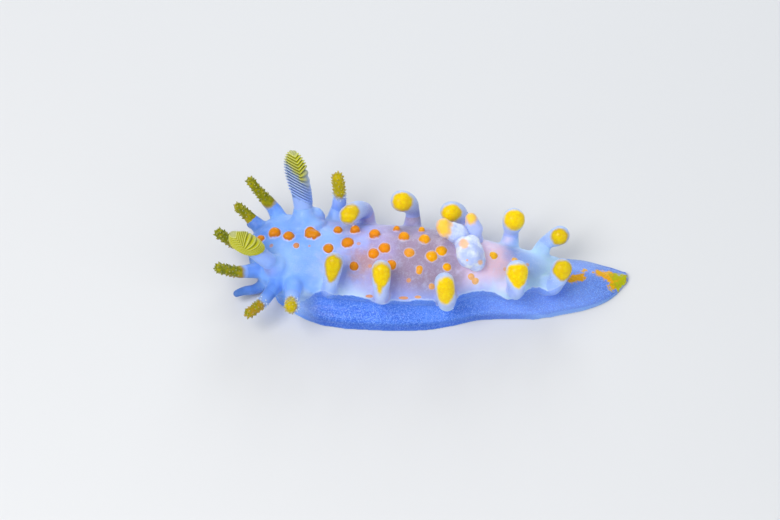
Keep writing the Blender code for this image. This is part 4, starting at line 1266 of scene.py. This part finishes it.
def gill_material(spotted, pale):
    """Milky white with soft yellow and orange ends, or a few faint orange spots."""
    n = Nodes("gill")
    color = n.over((0.48, 0.58, 0.98), pale, n.noise(2.5, 3.0), 0.35, 0.7)
    if spotted:
        away = n.plus(n.attribute("spot"), n.sway(5.0, 3.0, 0.12))
        color = n.over(color, (1.0, 0.5, 0.14), away, 0.6, 1.25, 0.75, 0.0)
    else:
        depth = n.plus(n.attribute("yellow"), n.sway(3.0, 3.0, 0.06))
        color = n.over(color, (1.0, 0.55, 0.12), depth, -0.16, 0.06, 0.0, 0.85)
        color = n.over(color, (1.0, 0.66, 0.04), depth, 0.0, 0.16, 0.0, 0.85)
    return n.finish(Base_Color=color, **FLESH)


def wear(obj, material):
    obj.data.materials.clear()
    obj.data.materials.append(material)


# What the camera looks at, how far off it is, its lens, sensor and clipping in metres.
TARGET = (-1.449, 0.925, 0.777)
DISTANCE = 200
LENS = 191
SENSOR = 36
CLIP = (0.01, 10)
# Lights: place, size, power and colour. Then the floor and the surround.
LIGHTS = {
    "key": ((-70, -60, 120), 90, 0.17, (1, 0.98, 0.95)),
    "fill": ((110, -80, 70), 120, 0.06, (0.88, 0.94, 1)),
    "rim": ((10, 130, 60), 80, 0.08, (0.92, 0.96, 1)),
}
FLOOR_REACH = 900
FLOOR_COLORS = ((0.7, 0.71, 0.72), (0.73, 0.73, 0.74))
SURROUND = {"Color": (0.9, 0.94, 1, 1), "Strength": 0.42}


def add_camera():
    """The photo's view on the animal's left side, from far off."""
    toward = Vector(TOWARD)
    camera = bpy.data.objects.new("camera", bpy.data.cameras.new("camera"))
    camera.location = Vector(TARGET) * MM + toward * DISTANCE * MM
    camera.rotation_euler = toward.to_track_quat("Z", "Y").to_euler()
    camera.data.lens = LENS
    camera.data.sensor_width = SENSOR
    camera.data.clip_start, camera.data.clip_end = CLIP
    bpy.context.scene.collection.objects.link(camera)
    bpy.context.scene.camera = camera


def add_light(name, place, size, power, color):
    light = bpy.data.lights.new(name, "AREA")
    light.size = size * MM
    light.energy = power
    light.color = color
    obj = bpy.data.objects.new(name, light)
    obj.location = Vector(place) * MM
    obj.rotation_euler = Vector(place).to_track_quat("Z", "Y").to_euler()
    bpy.context.scene.collection.objects.link(obj)


def add_studio():
    """A pale floor, soft light from above and both sides, and a pale surround."""
    corners = np.array([(-1, -1, 0), (1, -1, 0), (1, 1, 0), (-1, 1, 0)]) * FLOOR_REACH
    floor = object_from("floor", corners, [(0, 1, 2, 3)])
    n = Nodes("floor")
    tint = n.noise(0.02)
    wear(floor, n.finish(Base_Color=n.mix(tint, *FLOOR_COLORS), Roughness=0.7))
    for name, light in LIGHTS.items():
        add_light(name, *light)
    world = bpy.data.worlds.new("surround")
    world.use_nodes = True
    for key, value in SURROUND.items():
        world.node_tree.nodes["Background"].inputs[key].default_value = value
    bpy.context.scene.world = world
    bpy.context.scene.view_settings.view_transform = "Standard"


def dress(obj, slot, material, *nodes):
    wear(obj, material)
    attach(obj, "root")
    if nodes:
        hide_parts(*nodes)


def main():
    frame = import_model()
    rng = random.Random(SEED)
    surface = body_tree()
    clubs = all_clubs(surface)
    tentacles = all_tentacles(surface)
    flesh = [n for n in frame["nodes"] if "club" in n or "tentacle" in n] + ["head", "mantle", "foot", "tail"]
    dress(make_skin(surface, clubs, tentacles), "mantle", skin_material(), *flesh)
    dress(make_papillae(clubs, rng), "club", papilla_material())
    for side, (foot, tip, stalk, club, stalk_share, start, outline, _) in RHINOPHORES.items():
        obj = make_rhinophore("leaves_" + side, surface, foot, tip, stalk, club, stalk_share, outline)
        dress(obj, "rhinophore", rhinophore_material(*start, tip[0]), "rhinophore_" + side)
    for side, (balls, yellow, pale) in GILLS.items():
        obj = make_gill("gill_" + side + "_soft", balls, yellow)
        dress(obj, "gill", gill_material(not yellow, pale), "gill_" + side)
    add_studio()
    add_camera()


main()
